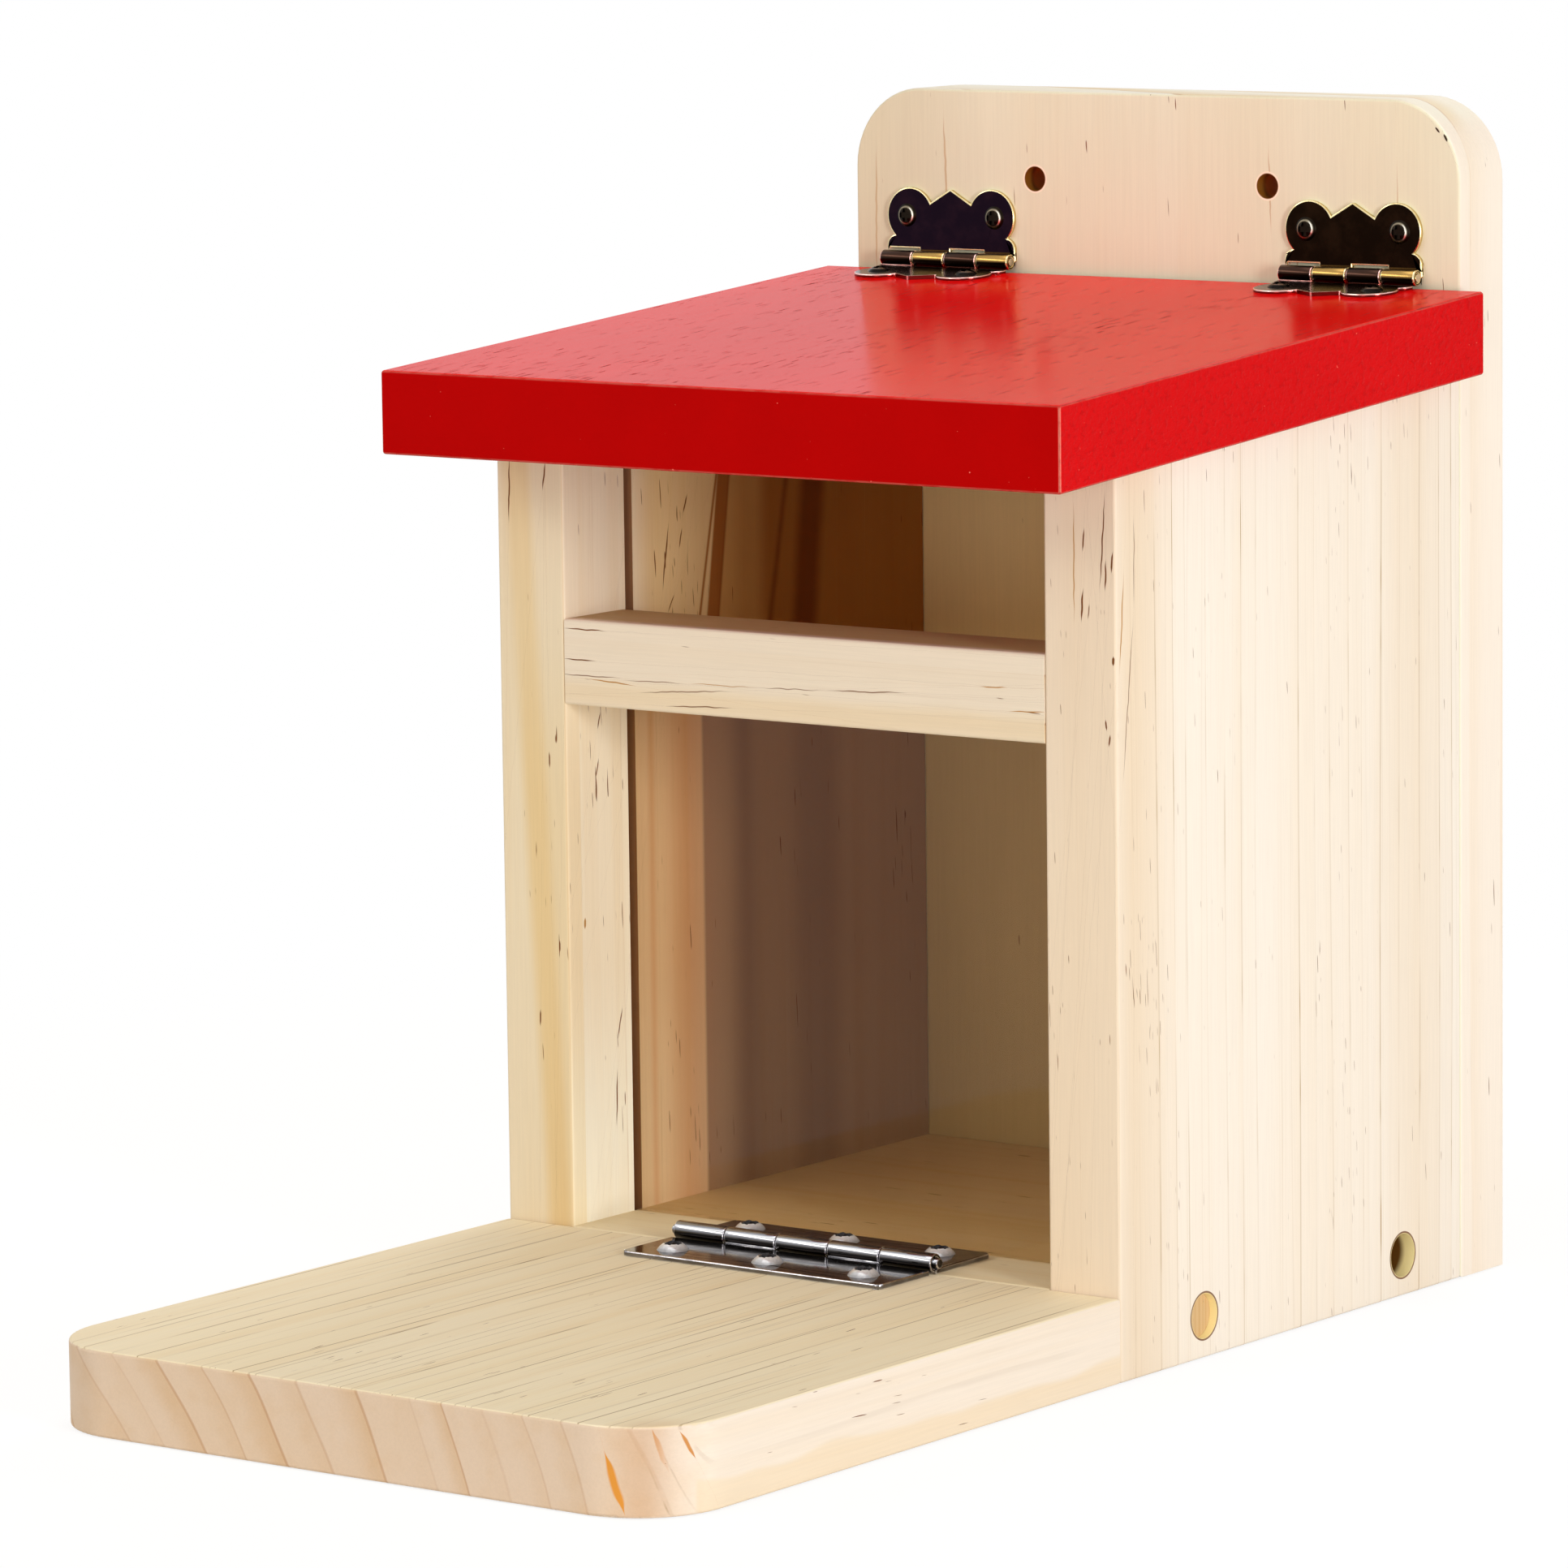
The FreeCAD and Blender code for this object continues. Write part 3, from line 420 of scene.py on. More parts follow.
def pine(name, grain, pale, late, pith, spacing, seed, soft=0.3, line=0.35, line_width=0.22 * MM,
         line_colour=(196, 166, 118), breaks=(0.42, 0.62), wave=0.006, hair=0.12,
         hair_spacing=0.4, fleck=0.2, fleck_size=(0.4 * MM, 10 * MM), flecked=(), face_shading_tints=(),
         patches=(), strokes=(), bores=(), streak=0.25, end_soft=0.9, end_line=0.6,
         end_colour=(186, 132, 92)):
    """Planed pine: growth rings, fine fibre, resin flecks and slow changes of colour.

    The colour wanders between pale and late. Rings run round the pith, spacing apart. Line is
    how dark their edges are, and hair how dark the finer rings are. Patches multiply the colour
    in zones: some are the wood's own tones, and some are painted shade and painted light inside
    the box. Face shading tints multiply whole faces by the direction they face, as painted light
    and shade. Flecked says where flecks are denser, strokes are single marks, and bores are the
    drilled holes."""
    def build(graph):
        where = graph.place()
        place = grain_place(graph, grain)
        rings, edge_distance, vigour = growth_rings(graph, place, pith, spacing, wave, seed)
        _, hair_distance, hair_vigour = growth_rings(
            graph, place, pith, spacing * hair_spacing, wave, seed + HAIR_SEED_STEP,
        )
        squarely = squarely_cut(graph, place, grain, pith)
        ends = graph.steps(graph.facing(grain), *END_FACING)
        sides = graph.minus(1.0, ends)
        fibre = graph.noise(place, FIBRE, (seed, 0, 0), **GRAINY)
        streaks = graph.noise(place, STREAKS, (0, seed, 0), detail=2.0)
        zones = graph.noise(place, ZONES, (seed, seed, 0), detail=1.0)
        late_share = graph.steps(zones, *ZONE_RANGE)
        colour = graph.mix(late_share, srgb(*pale), srgb(*late))
        streaked = graph.mix(streak, colour, graph.tinted(colour, STREAK_TINT))
        colour = graph.mix(graph.steps(streaks, *STREAK_RANGE), colour, streaked)
        # Patches: wood tones, and painted shade and painted light where the box is shut in
        for tint, amount, limits in patches:
            mask = graph.times(patch_mask(graph, where, limits), amount)
            colour = graph.mix(mask, colour, graph.tinted(colour, srgb(*tint)))
        ring_tone = graph.tinted(colour, LATE_WOOD_TINT)
        ring_share = graph.between(ends, soft, end_soft)
        colour = graph.mix(graph.times(rings, ring_share, squarely), colour, ring_tone)
        # Painted light and shade: each face tint darkens, warms or yellows a whole face by the
        # direction it faces
        for axis, sign, tint in face_shading_tints:
            there = graph.steps(graph.facing(axis, sign), *FACE_SHADING_FACING)
            colour = graph.mix(there, colour, graph.tinted(colour, (*tint, 1.0)))
        broken = graph.noise(place, LINE_BREAKS, (seed, seed, seed), detail=1.0)
        kept = graph.times(graph.steps(broken, *breaks), squarely, sides)
        depths = graph.noise(place, LINE_DEPTHS, (seed, 0, 0))
        darker = graph.steps(depths, *LINE_DEPTH_RANGE)
        thin = graph.fades(edge_distance, line_width * LINE_CORE, line_width)
        lines = graph.times(thin, vigour, kept, darker)
        colour = graph.mix(graph.times(lines, line), colour, srgb(*line_colour))
        fine = graph.fades(hair_distance, *HAIR_WIDTH)
        hairs = graph.times(fine, hair_vigour, kept, hair)
        colour = graph.mix(hairs, colour, srgb(*line_colour))
        on_end = graph.fades(edge_distance, *END_LINE_WIDTH)
        end_lines = graph.times(on_end, vigour, ends, end_line)
        colour = graph.mix(end_lines, colour, srgb(*end_colour))
        fibre_tone = graph.steps(fibre, *FIBRE_TONE_RANGE)
        colour = graph.tinted(colour, graph.grey(fibre_tone))
        amount = fleck
        for more, limits in flecked:
            amount = graph.plus(graph.times(patch_mask(graph, where, limits), more), amount)
        marks = graph.times(flecks(graph, place, seed, fleck_size, amount), sides)
        for mark_colour, share, *stroke in strokes:
            stroked = graph.times(stroke_mask(graph, where, stroke), share)
            colour = graph.mix(stroked, colour, srgb(*mark_colour))
        colour = graph.mix(graph.times(marks, FLECK_SHARE), colour, FLECK_COLOUR)
        for bore in bores:
            colour = drilled(graph, where, colour, bore)
        height = graph.plus(graph.times(fibre, FIBRE_HEIGHT), graph.times(marks, FLECK_HEIGHT))
        return {
            "Base_Color": colour,
            "Roughness": graph.steps(fibre, *WOOD_ROUGHNESS_RANGE),
            "Normal": graph.bump(height, *WOOD_RELIEF),
        }
    return surface(name, build, Specular_IOR_Level=WOOD_SPECULAR)


# Paint

# Noise scales and ranges, as for the wood
PORES = (700, 700, 40)
PEEL = (900, 900, 700)
BLOTCHES = (60, 60, 18)
SPECKS = evenly(1600)
WEAR_AND_HIGHLIGHT_BREAKS = evenly(240)
PEEL_RANGE = (0.52, 0.68)
BLOTCH_RANGE = (0.3, 0.7, 0.0, 0.07)
SPECK_RANGE = (0.87, 0.9)
WEAR_AND_HIGHLIGHT_BREAK_RANGE = (0.35, 0.55, 0.4)
UPRIGHT_RANGE = (0.1, 0.5, 0.55, 0.2)
WORN_AND_HIGHLIT_EDGE_RANGE = (0.86, 0.97)
PAINT_IOR = 1.072


def red_paint(name):
    """Red gloss over pine. The grain still shows on top, and the sides are rolled. The front is a
    darker red and the sides and top lighter reds: painted shade and painted light on one paint.
    The rounded edges turn pale pink, partly where worn paint lets the wood show and partly as a
    painted highlight, most on the upright edges."""
    # One paint in three reds: darker in front as painted shade, lighter on the sides and top as
    # painted light
    shaded_front_red, lit_side_red, lit_top_red = srgb(179, 3, 3), srgb(209, 18, 21), srgb(244, 7, 9)
    mottle_red, blotch_red, mark_red = srgb(120, 0, 4), srgb(120, 0, 2), srgb(128, 0, 0)
    speck_pink, worn_and_highlit_pink = srgb(238, 120, 104), srgb(244, 158, 138)
    mark_size, mark_amount, mark_seed = (0.32 * MM, 30 * MM), 2.1, 7.0
    mottle_share, mark_share, speck_share = 0.16, 0.8, 0.7
    pore_height, mark_height = 0.2, -0.3
    grain_relief, peel_relief = (0.1 * MM, 0.5), (0.5 * MM, 0.8)
    side_satin, upper_gloss, mark_satin, pore_satin = 0.38, 0.13, 0.35, 0.08

    def build(graph):
        place = grain_place(graph, "Y", ROOF_PITCH)
        side = graph.steps(graph.facing("X"), *SIDE_PAINT_FACING)
        upper = graph.steps(graph.facing("Z"), *FLAT_FACING)
        top = graph.steps(graph.facing("Z", 1), *FLAT_FACING)
        pores = graph.noise(place, PORES, (3, 0, 0), **GRAINY)
        marks = flecks(graph, place, mark_seed, mark_size, mark_amount)
        peel = graph.noise(place, PEEL, **GRAINY)
        blotch = graph.noise(place, BLOTCHES, (9, 0, 0), detail=2.0)
        specks = graph.noise(place, SPECKS, (5, 0, 0), detail=0.0)
        # Painted shade and light: the red set by the direction each face faces
        colour = graph.mix(side, shaded_front_red, lit_side_red)
        colour = graph.mix(top, colour, lit_top_red)
        mottled = graph.times(graph.steps(peel, *PEEL_RANGE), side, mottle_share)
        colour = graph.mix(mottled, colour, mottle_red)
        colour = graph.mix(graph.steps(blotch, *BLOTCH_RANGE), colour, blotch_red)
        colour = graph.mix(graph.times(marks, upper, mark_share), colour, mark_red)
        speckled = graph.times(graph.steps(specks, *SPECK_RANGE), speck_share)
        colour = graph.mix(speckled, colour, speck_pink)
        # Pale pink on the rounded edges: partly worn paint, partly a painted highlight, most on
        # upright edges
        squarest = graph.maths("MAXIMUM", graph.facing("X"), graph.facing("Y"))
        squarest = graph.maths("MAXIMUM", squarest, graph.facing("Z"))
        rubbing = graph.noise(place, WEAR_AND_HIGHLIGHT_BREAKS, **CLOUDY)
        rubbed = graph.steps(rubbing, *WEAR_AND_HIGHLIGHT_BREAK_RANGE)
        upright = graph.steps(graph.facing("Z"), *UPRIGHT_RANGE)
        worn = graph.times(graph.fades(squarest, *WORN_AND_HIGHLIT_EDGE_RANGE), rubbed, upright)
        colour = graph.mix(worn, colour, worn_and_highlit_pink)
        grain = graph.plus(graph.times(pores, pore_height), graph.times(marks, mark_height))
        fine = graph.bump(graph.times(grain, upper), *grain_relief)
        rough_side = graph.bump(graph.times(peel, side), *peel_relief, fine)
        satin = graph.steps(upper, 0.0, 1.0, side_satin, upper_gloss)
        satin = graph.plus(satin, graph.times(marks, top, mark_satin))
        return {
            "Base_Color": colour,
            "Roughness": graph.plus(satin, graph.times(pores, pore_satin)),
            "Normal": rough_side,
        }
    return surface(name, build, IOR=PAINT_IOR, Specular_IOR_Level=0.5)


# Metals

# Painted highlights and shade: tones round a barrel from below to above, and from a screw
# head's rim to its middle
BARREL_PAINTED_LIGHT_TONES = [
    (0.0, (60, 56, 52)), (0.45, (30, 27, 26)), (0.56, (84, 82, 82)), (0.66, (142, 142, 146)),
    (0.74, (190, 190, 194)), (0.79, (255, 255, 255)), (0.85, (160, 160, 165)),
    (1.0, (112, 112, 116)),
]
DECK_SCREW_PAINTED_LIGHT_TONES = [
    (0.0, (96, 94, 97)), (0.5, (128, 127, 130)), (0.84, (236, 236, 238)),
    (0.855, (255, 255, 255)), (0.874, (255, 255, 255)), (0.89, (46, 44, 46)),
    (0.94, (50, 48, 50)), (0.962, (220, 220, 224)), (0.99, (255, 255, 255)),
    (0.997, (110, 108, 110)), (1.0, (44, 42, 44)),
]
BACK_SCREW_PAINTED_LIGHT_TONES = [
    (0.0, (14, 11, 9)), (0.8, (30, 24, 18)), (0.858, (150, 138, 116)), (0.872, (128, 116, 96)),
    (0.886, (46, 38, 30)), (0.95, (24, 19, 15)), (1.0, (34, 28, 22)),
]
ROOF_SCREW_PAINTED_LIGHT_TONES = [
    (0.0, (14, 11, 9)), (0.8, (20, 16, 13)), (0.858, (130, 108, 96)), (0.875, (104, 86, 74)),
    (0.9, (40, 32, 26)), (0.95, (24, 19, 16)), (1.0, (24, 18, 15)),
]

# Noise scales, ranges and roughness of the metals
ROLLING_LINES = (60, 4000, 4000)
SCREW_RIM = (0.84, 0.878, 0.008)
GLINT_FACING = (0.18, 0.42)
KNUCKLE_SHADE_FACING = (-0.35, 0.1)
BARREL_SOFT = 0.1 * MM
CLOUD_RANGE = (0.4, 0.75)
GRIT_RANGE = (0.3, 0.7)
GRIT_TONE = (0.85, 1.0)
ROUGHNESS_SPREAD = 0.08
ZINC_ROUGHNESS = (0.07, 0.14)
BRONZE_ROUGHNESS = (0.16, 0.26)

# Depth and strength of each metal's relief
ZINC_RELIEF = (0.006 * MM, 0.25)
PLATED_RELIEF = (0.004 * MM, 0.3)
SCREW_RELIEF = (0.005 * MM, 0.3)
BRONZE_RELIEF = (0.006 * MM, 0.3)


def bright_zinc(name, barrel_centre, barrel_radius):
    """Bright zinc plate. The leaves' dark grey is a painted reflection of dark surroundings, and
    the rolled barrel's tones run round it as painted highlight and shade.
    """
    def build(graph):
        place = graph.place()
        lines = graph.noise(place, ROLLING_LINES)
        patches = graph.noise(place, evenly(120), **CLOUDY)
        spots = graph.noise(place, evenly(1400))
        leaf_share = graph.steps(patches, 0.35, 0.7)
        # Painted reflection: the leaves' dark grey stands in for the dark things a polished leaf
        # mirrors
        leaf = graph.mix(leaf_share, srgb(136, 135, 138), srgb(98, 95, 95))
        # Painted highlight and shade round the barrel, by the way its surface faces
        turned = graph.plus(graph.times(graph.facing("Z", 1), 0.5), 0.5)
        away = [-value for value in barrel_centre]
        from_axis = graph.length(graph.stretch(place, (0, 1, 1), away))
        rolled = graph.fades(from_axis, barrel_radius, barrel_radius + BARREL_SOFT)
        height = graph.plus(graph.times(lines, 0.4), spots)
        return {
            "Base_Color": graph.mix(rolled, leaf, graph.ramp(turned, BARREL_PAINTED_LIGHT_TONES)),
            "Roughness": graph.steps(patches, *GRIT_RANGE, *ZINC_ROUGHNESS),
            "Normal": graph.bump(height, *ZINC_RELIEF),
        }
    return surface(name, build, Metallic=1.0)


def plated(name, colour, worn, roughness):
    """Plated metal: even colour with rubbed spots."""
    def build(graph):
        place = graph.place()
        cloud = graph.noise(place, evenly(320), **CLOUDY)
        grit = graph.noise(place, evenly(4200), detail=1.0)
        roughest = roughness + ROUGHNESS_SPREAD
        return {
            "Base_Color": graph.mix(graph.steps(cloud, *CLOUD_RANGE), srgb(*colour), srgb(*worn)),
            "Roughness": graph.steps(grit, *GRIT_RANGE, roughness, roughest),
            "Normal": graph.bump(grit, *PLATED_RELIEF),
        }
    return surface(name, build, Metallic=1.0)


def domed_screw(name, axis, tones, roughness, glint=None, metallic=1.0):
    """A polished screw head, whose tones of painted highlight and shade run in rings from its rim
    to its middle. The glint is a painted highlight, a brighter colour on the right of the rim."""
    def build(graph):
        grit = graph.noise(graph.place(), evenly(2600), detail=2.0)
        # Painted highlights and shade in rings from the rim to the middle
        colour = graph.ramp(graph.facing(axis), tones)
        if glint:
            rim = graph.band(graph.facing(axis), *SCREW_RIM)
            right = graph.steps(graph.facing("X", 1), *GLINT_FACING)
            colour = graph.mix(graph.times(rim, right), colour, srgb(*glint))
        grit_tone = graph.steps(grit, *GRIT_RANGE, *GRIT_TONE)
        roughest = roughness + ROUGHNESS_SPREAD
        return {
            "Base_Color": graph.tinted(colour, graph.grey(grit_tone)),
            "Roughness": graph.steps(grit, *GRIT_RANGE, roughness, roughest),
            "Normal": graph.bump(grit, *SCREW_RELIEF),
        }
    return surface(name, build, Metallic=metallic)


def bronzed(name, plate, plate_worn, plate_axis, side, barrel_colour, barrel):
    """Dark bronzed plate with stamped sides of another tone and browner rolled knuckles, whose
    undersides are darkened as painted shade.
    """
    low, high = barrel
    knuckle_painted_shade = srgb(24, 14, 8)

    def build(graph):
        place = graph.place()
        height = graph.split(place)[2]
        rolled = graph.band(height, low, high, BARREL_SOFT)
        # Painted shade on the knuckles' undersides
        under = graph.steps(graph.facing("Z", -1), *KNUCKLE_SHADE_FACING)
        flat = graph.steps(graph.facing(plate_axis), *FLAT_FACING)
        cloud = graph.noise(place, evenly(260), **CLOUDY)
        grit = graph.noise(place, evenly(3000))
        dark = graph.mix(graph.steps(cloud, *CLOUD_RANGE), srgb(*plate), srgb(*plate_worn))
        plain = graph.mix(flat, srgb(*side), dark)
        knuckle = graph.mix(under, srgb(*barrel_colour), knuckle_painted_shade)
        return {
            "Base_Color": graph.mix(rolled, plain, knuckle),
            "Roughness": graph.steps(grit, *GRIT_RANGE, *BRONZE_ROUGHNESS),
            "Normal": graph.bump(grit, *BRONZE_RELIEF),
        }
    return surface(name, build, Metallic=1.0)


def clear_sheet(name):
    """Clear acrylic: a faint warm film of dust, and reflections that grow towards the edge."""
    square_on, added_edge_on, edge_power, polish = 0.012, 0.6, 5.0, 0.04
    film, film_range = (30, 30, 12), (0.3, 0.7)
    material, graph = blank(name)
    haze = graph.noise(graph.place(), film, detail=3.0)
    tint = graph.mix(graph.steps(haze, *film_range), srgb(251, 246, 236), srgb(247, 241, 230))
    through = graph.node("ShaderNodeBsdfTransparent", {"Color": tint})
    shine = graph.node("ShaderNodeBsdfGlossy", {"Color": WHITE, "Roughness": polish})
    edge_on = graph.node("ShaderNodeLayerWeight", {"Blend": 0.5}).outputs["Facing"]
    grown = graph.times(graph.maths("POWER", edge_on, edge_power), added_edge_on)
    graph.output(graph.mix_shaders(graph.plus(grown, square_on), through, shine))
    return material


# Pieces

# Faces that carry marks: the face's axis and side, then the axes along and across the mark
FRONT_UP = ("Y", -1, "Z", "X")
FRONT_ACROSS = ("Y", -1, "X", "Z")
SIDE_UP = ("X", 1, "Z", "Y")

# Colours of the marks, and tints of the patches
DASH = (112, 60, 12)
VEIN = (182, 132, 64)
NICK = (52, 34, 16)
AMBER = (218, 146, 58)
RESIN = (200, 128, 40)
# The next four tints are painted shade for the inside of the box
INSIDE_PAINTED_SHADE = (214, 184, 140)
OLIVE_PAINTED_SHADE = (242, 223, 186)
DARK_PAINTED_SHADE_BAND = (172, 116, 52)
SHADE = (150, 92, 74)
OCHRE = (251, 240, 214)

# Tones of a drilled hole: its rim, its wall by the mouth and its wall deep inside. The wall
# tones are painted light and shade: the side holes pale by the mouth and dark deep inside, the
# wall holes dark by the mouth and lighter deep inside.
SIDE_HOLE_TONES = ((112, 66, 20), (255, 238, 176), (104, 66, 22))
WALL_HOLE_TONES = ((252, 238, 214), (124, 76, 16), (196, 112, 34))

# Limits of a patch: lowest, highest, softness and how far they wander
FAR = 1.0
SHARP = 0.1 * MM
FRONT_EDGE = (-FAR, 0.006, SHARP, 0)

# Rubbed edges of the hinges: their widths, the angle from which an edge is sharp, and how
# near two points are when they are welded
DECK_HINGE_EDGE = 0.22 * MM
BACK_LEAF_EDGE = 0.25 * MM
ROOF_LEAF_EDGE = 0.2 * MM
EDGE_ANGLE = math.radians(40)
WELD_REACH = 0.001 * MM


def dress(node, material):
    """Give a carried-over piece its finish."""
    piece = NODES[node]
    piece.data.materials.clear()
    piece.data.materials.append(material)


def rub_edges(node, material, width):
    """Round a plate's sharp edges and give them their own finish: the bright metal that shows
    where they are rubbed, which on the roof leaves also carries a painted red reflection.
    """
    piece = NODES[node]
    piece.data.materials.append(material)
    weld = piece.modifiers.new("weld", "WELD")
    weld.merge_threshold = WELD_REACH
    bevel = piece.modifiers.new("rubbed_edge", "BEVEL")
    bevel.limit_method = "ANGLE"
    bevel.angle_limit = EDGE_ANGLE
    bevel.width = width
    bevel.segments = 2
    bevel.material = 1
    bevel.use_clamp_overlap = False


def side_holes(side):
    """The two holes over a side's screws: the plugged one in front and the open one behind."""
    low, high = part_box(f"{side}_side_plug")
    middle = (low + high) / 2
    radius = (high.y - low.y) / 2
    first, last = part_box(f"{side}_side_screws")
    rear = Vector((middle.x, last.y - (middle.y - first.y), middle.z))
    faces = [corner.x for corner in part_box(f"{side}_side_panel")]
    mouth = max(faces, key=abs)
    return [("X", tuple(centre), radius, mouth, *SIDE_HOLE_TONES) for centre in (middle, rear)]


def wall_holes():
    """The two holes by which the box hangs."""
    mount = next(mount for mount in frame["record"]["mounts"] if mount["name"] == "wall_holes")
    spacing = mount["dims"]["spacing_x_mm"] * MM
    radius = mount["dims"]["hole_r_mm"] * MM
    height = mount["pos_m"][2]
    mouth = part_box("back_board")[0].y
    centres = [(spacing / 2 * side, 0, height) for side in (-1, 1)]
    return [("Y", centre, radius, mouth, *WALL_HOLE_TONES) for centre in centres]


def dress_back_board():
    """Pale wood, with a dark nick near the right corner and veins. Inside the box it has painted
    shade below the bar's level and painted light above it, and its front and sides are tinted as
    painted shade.
    """
    inner_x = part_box("right_side_panel")[0].x + SHARP
    face_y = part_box("back_board")[0].y
    inside = {"X": (-inner_x, inner_x, SHARP, 0), "Y": (-FAR, face_y + 0.5 * MM, SHARP, 0)}
    left_edge = {"X": (-0.08, -0.044, 0.012, 0.01), "Y": (-FAR, face_y + 1.4 * MM, SHARP, 0)}
    dress("back_board", pine(
        "pine_back_board", grain="Z", pale=(248, 243, 229), late=(245, 236, 216),
        pith=(0.10, 0.5), spacing=0.0125, seed=1.3, soft=0.25, line=0.4, line_width=0.3 * MM,
        line_colour=(206, 170, 112), hair=0.03, fleck=-0.6, streak=0.05, bores=wall_holes(),
        # Painted shade: the front and sides tinted darker and warmer
        face_shading_tints=[("Y", -1, (0.87, 0.90, 0.79)), ("X", 0, (0.965, 0.91, 0.91))],
        patches=[
            # Painted shade inside the box below the bar's level, and painted light above it
            (INSIDE_PAINTED_SHADE, 0.65, {**inside, "Z": (0.01, 0.108, 0.004, 0)}),
            ((266, 242, 207), 1.0, {**inside, "Z": (0.108, 0.168, 0.004, 0)}),
            ((244, 239, 235), 1.0, left_edge),
        ],
        strokes=[
            (NICK, 1.0, FRONT_UP, (0.2112, 0.0622), (0.2100, 0.0632), 0.6 * MM),
            (NICK, 1.0, FRONT_UP, (0.2100, 0.0640), (0.2084, 0.0648), 0.6 * MM),
            (VEIN, 0.5, FRONT_UP, (0.206, -0.0627), (0.178, -0.0630), 0.42 * MM),
            (VEIN, 0.5, FRONT_UP, (0.212, -0.0470), (0.190, -0.0462), 0.49 * MM),
            (VEIN, 0.5, FRONT_UP, (0.208, 0.0262), (0.190, 0.0268), 0.35 * MM),
            (VEIN, 0.5, FRONT_UP, (0.196, 0.0322), (0.180, 0.0327), 0.35 * MM),
            (VEIN, 0.5, FRONT_UP, (0.206, 0.0540), (0.172, 0.0548), 0.35 * MM),
        ],
    ))


def dress_right_side():
    """Fine rings on the outer face, and thin resin marks, most of them on the front edge."""
    dress("right_side_panel", pine(
        "pine_right_side_panel", grain="Z", pale=(241, 232, 220), late=(239, 226, 208),
        pith=(0.12, -0.30), spacing=0.0056, seed=4.1, soft=0.1, line=1.0, line_width=0.2 * MM,
        line_colour=(172, 140, 86), breaks=(0.3, 0.5), wave=0.004, hair=0.1, hair_spacing=0.55,
        fleck=0.0, fleck_size=(0.22 * MM, 45 * MM), streak=0.05, bores=side_holes("right"),
        # Painted shade: the front faces tinted a little darker and warmer
        face_shading_tints=[("Y", -1, (0.99, 0.965, 0.925))],
        patches=[
            ((242, 230, 212), 0.9, {"Y": (0.0, 0.014, 0.010, 0.004)}),
            ((248, 240, 228), 0.6, {"Y": (0.088, 0.105, 0.006, 0.01)}),
        ],
        flecked=[(0.6, {"Y": (0.004, 0.02, 0.004, 0.01)})],
        strokes=[
            (DASH, 0.8, SIDE_UP, (0.151, 0.0077), (0.1336, 0.0075), 0.22 * MM),
            (DASH, 0.8, SIDE_UP, (0.1340, 0.0075), (0.1032, 0.0037), 0.26 * MM),
            (VEIN, 1, SIDE_UP, (0.1414, 0.0046), (0.1230, 0.0030), 0.35 * MM),
            (DASH, 1, FRONT_UP, (0.1557, 0.0655), (0.1370, 0.0641), 0.28 * MM),
            (DASH, 1, FRONT_UP, (0.1485, 0.0610), (0.1440, 0.0607), 0.35 * MM),
            (DASH, 1, FRONT_UP, (0.1448, 0.0669), (0.1406, 0.0665), 0.42 * MM),
            (DASH, 1, FRONT_UP, (0.1434, 0.0654), (0.1374, 0.0652), 0.35 * MM),
            (DASH, 1, FRONT_UP, (0.1382, 0.0608), (0.1318, 0.0603), 0.42 * MM),
            (DASH, 0.8, FRONT_UP, (0.1355, 0.0621), (0.1325, 0.0617), 0.28 * MM),
            (VEIN, 0.9, FRONT_UP, (0.1536, 0.0588), (0.1310, 0.0589), 0.28 * MM),
            (DASH, 1, FRONT_UP, (0.1267, 0.0669), (0.1248, 0.0669), 0.56 * MM),
            (DASH, 1, FRONT_UP, (0.1157, 0.0652), (0.1136, 0.0654), 0.42 * MM),
            (DASH, 1, FRONT_UP, (0.1132, 0.0662), (0.1108, 0.0659), 0.35 * MM),
        ],
    ))


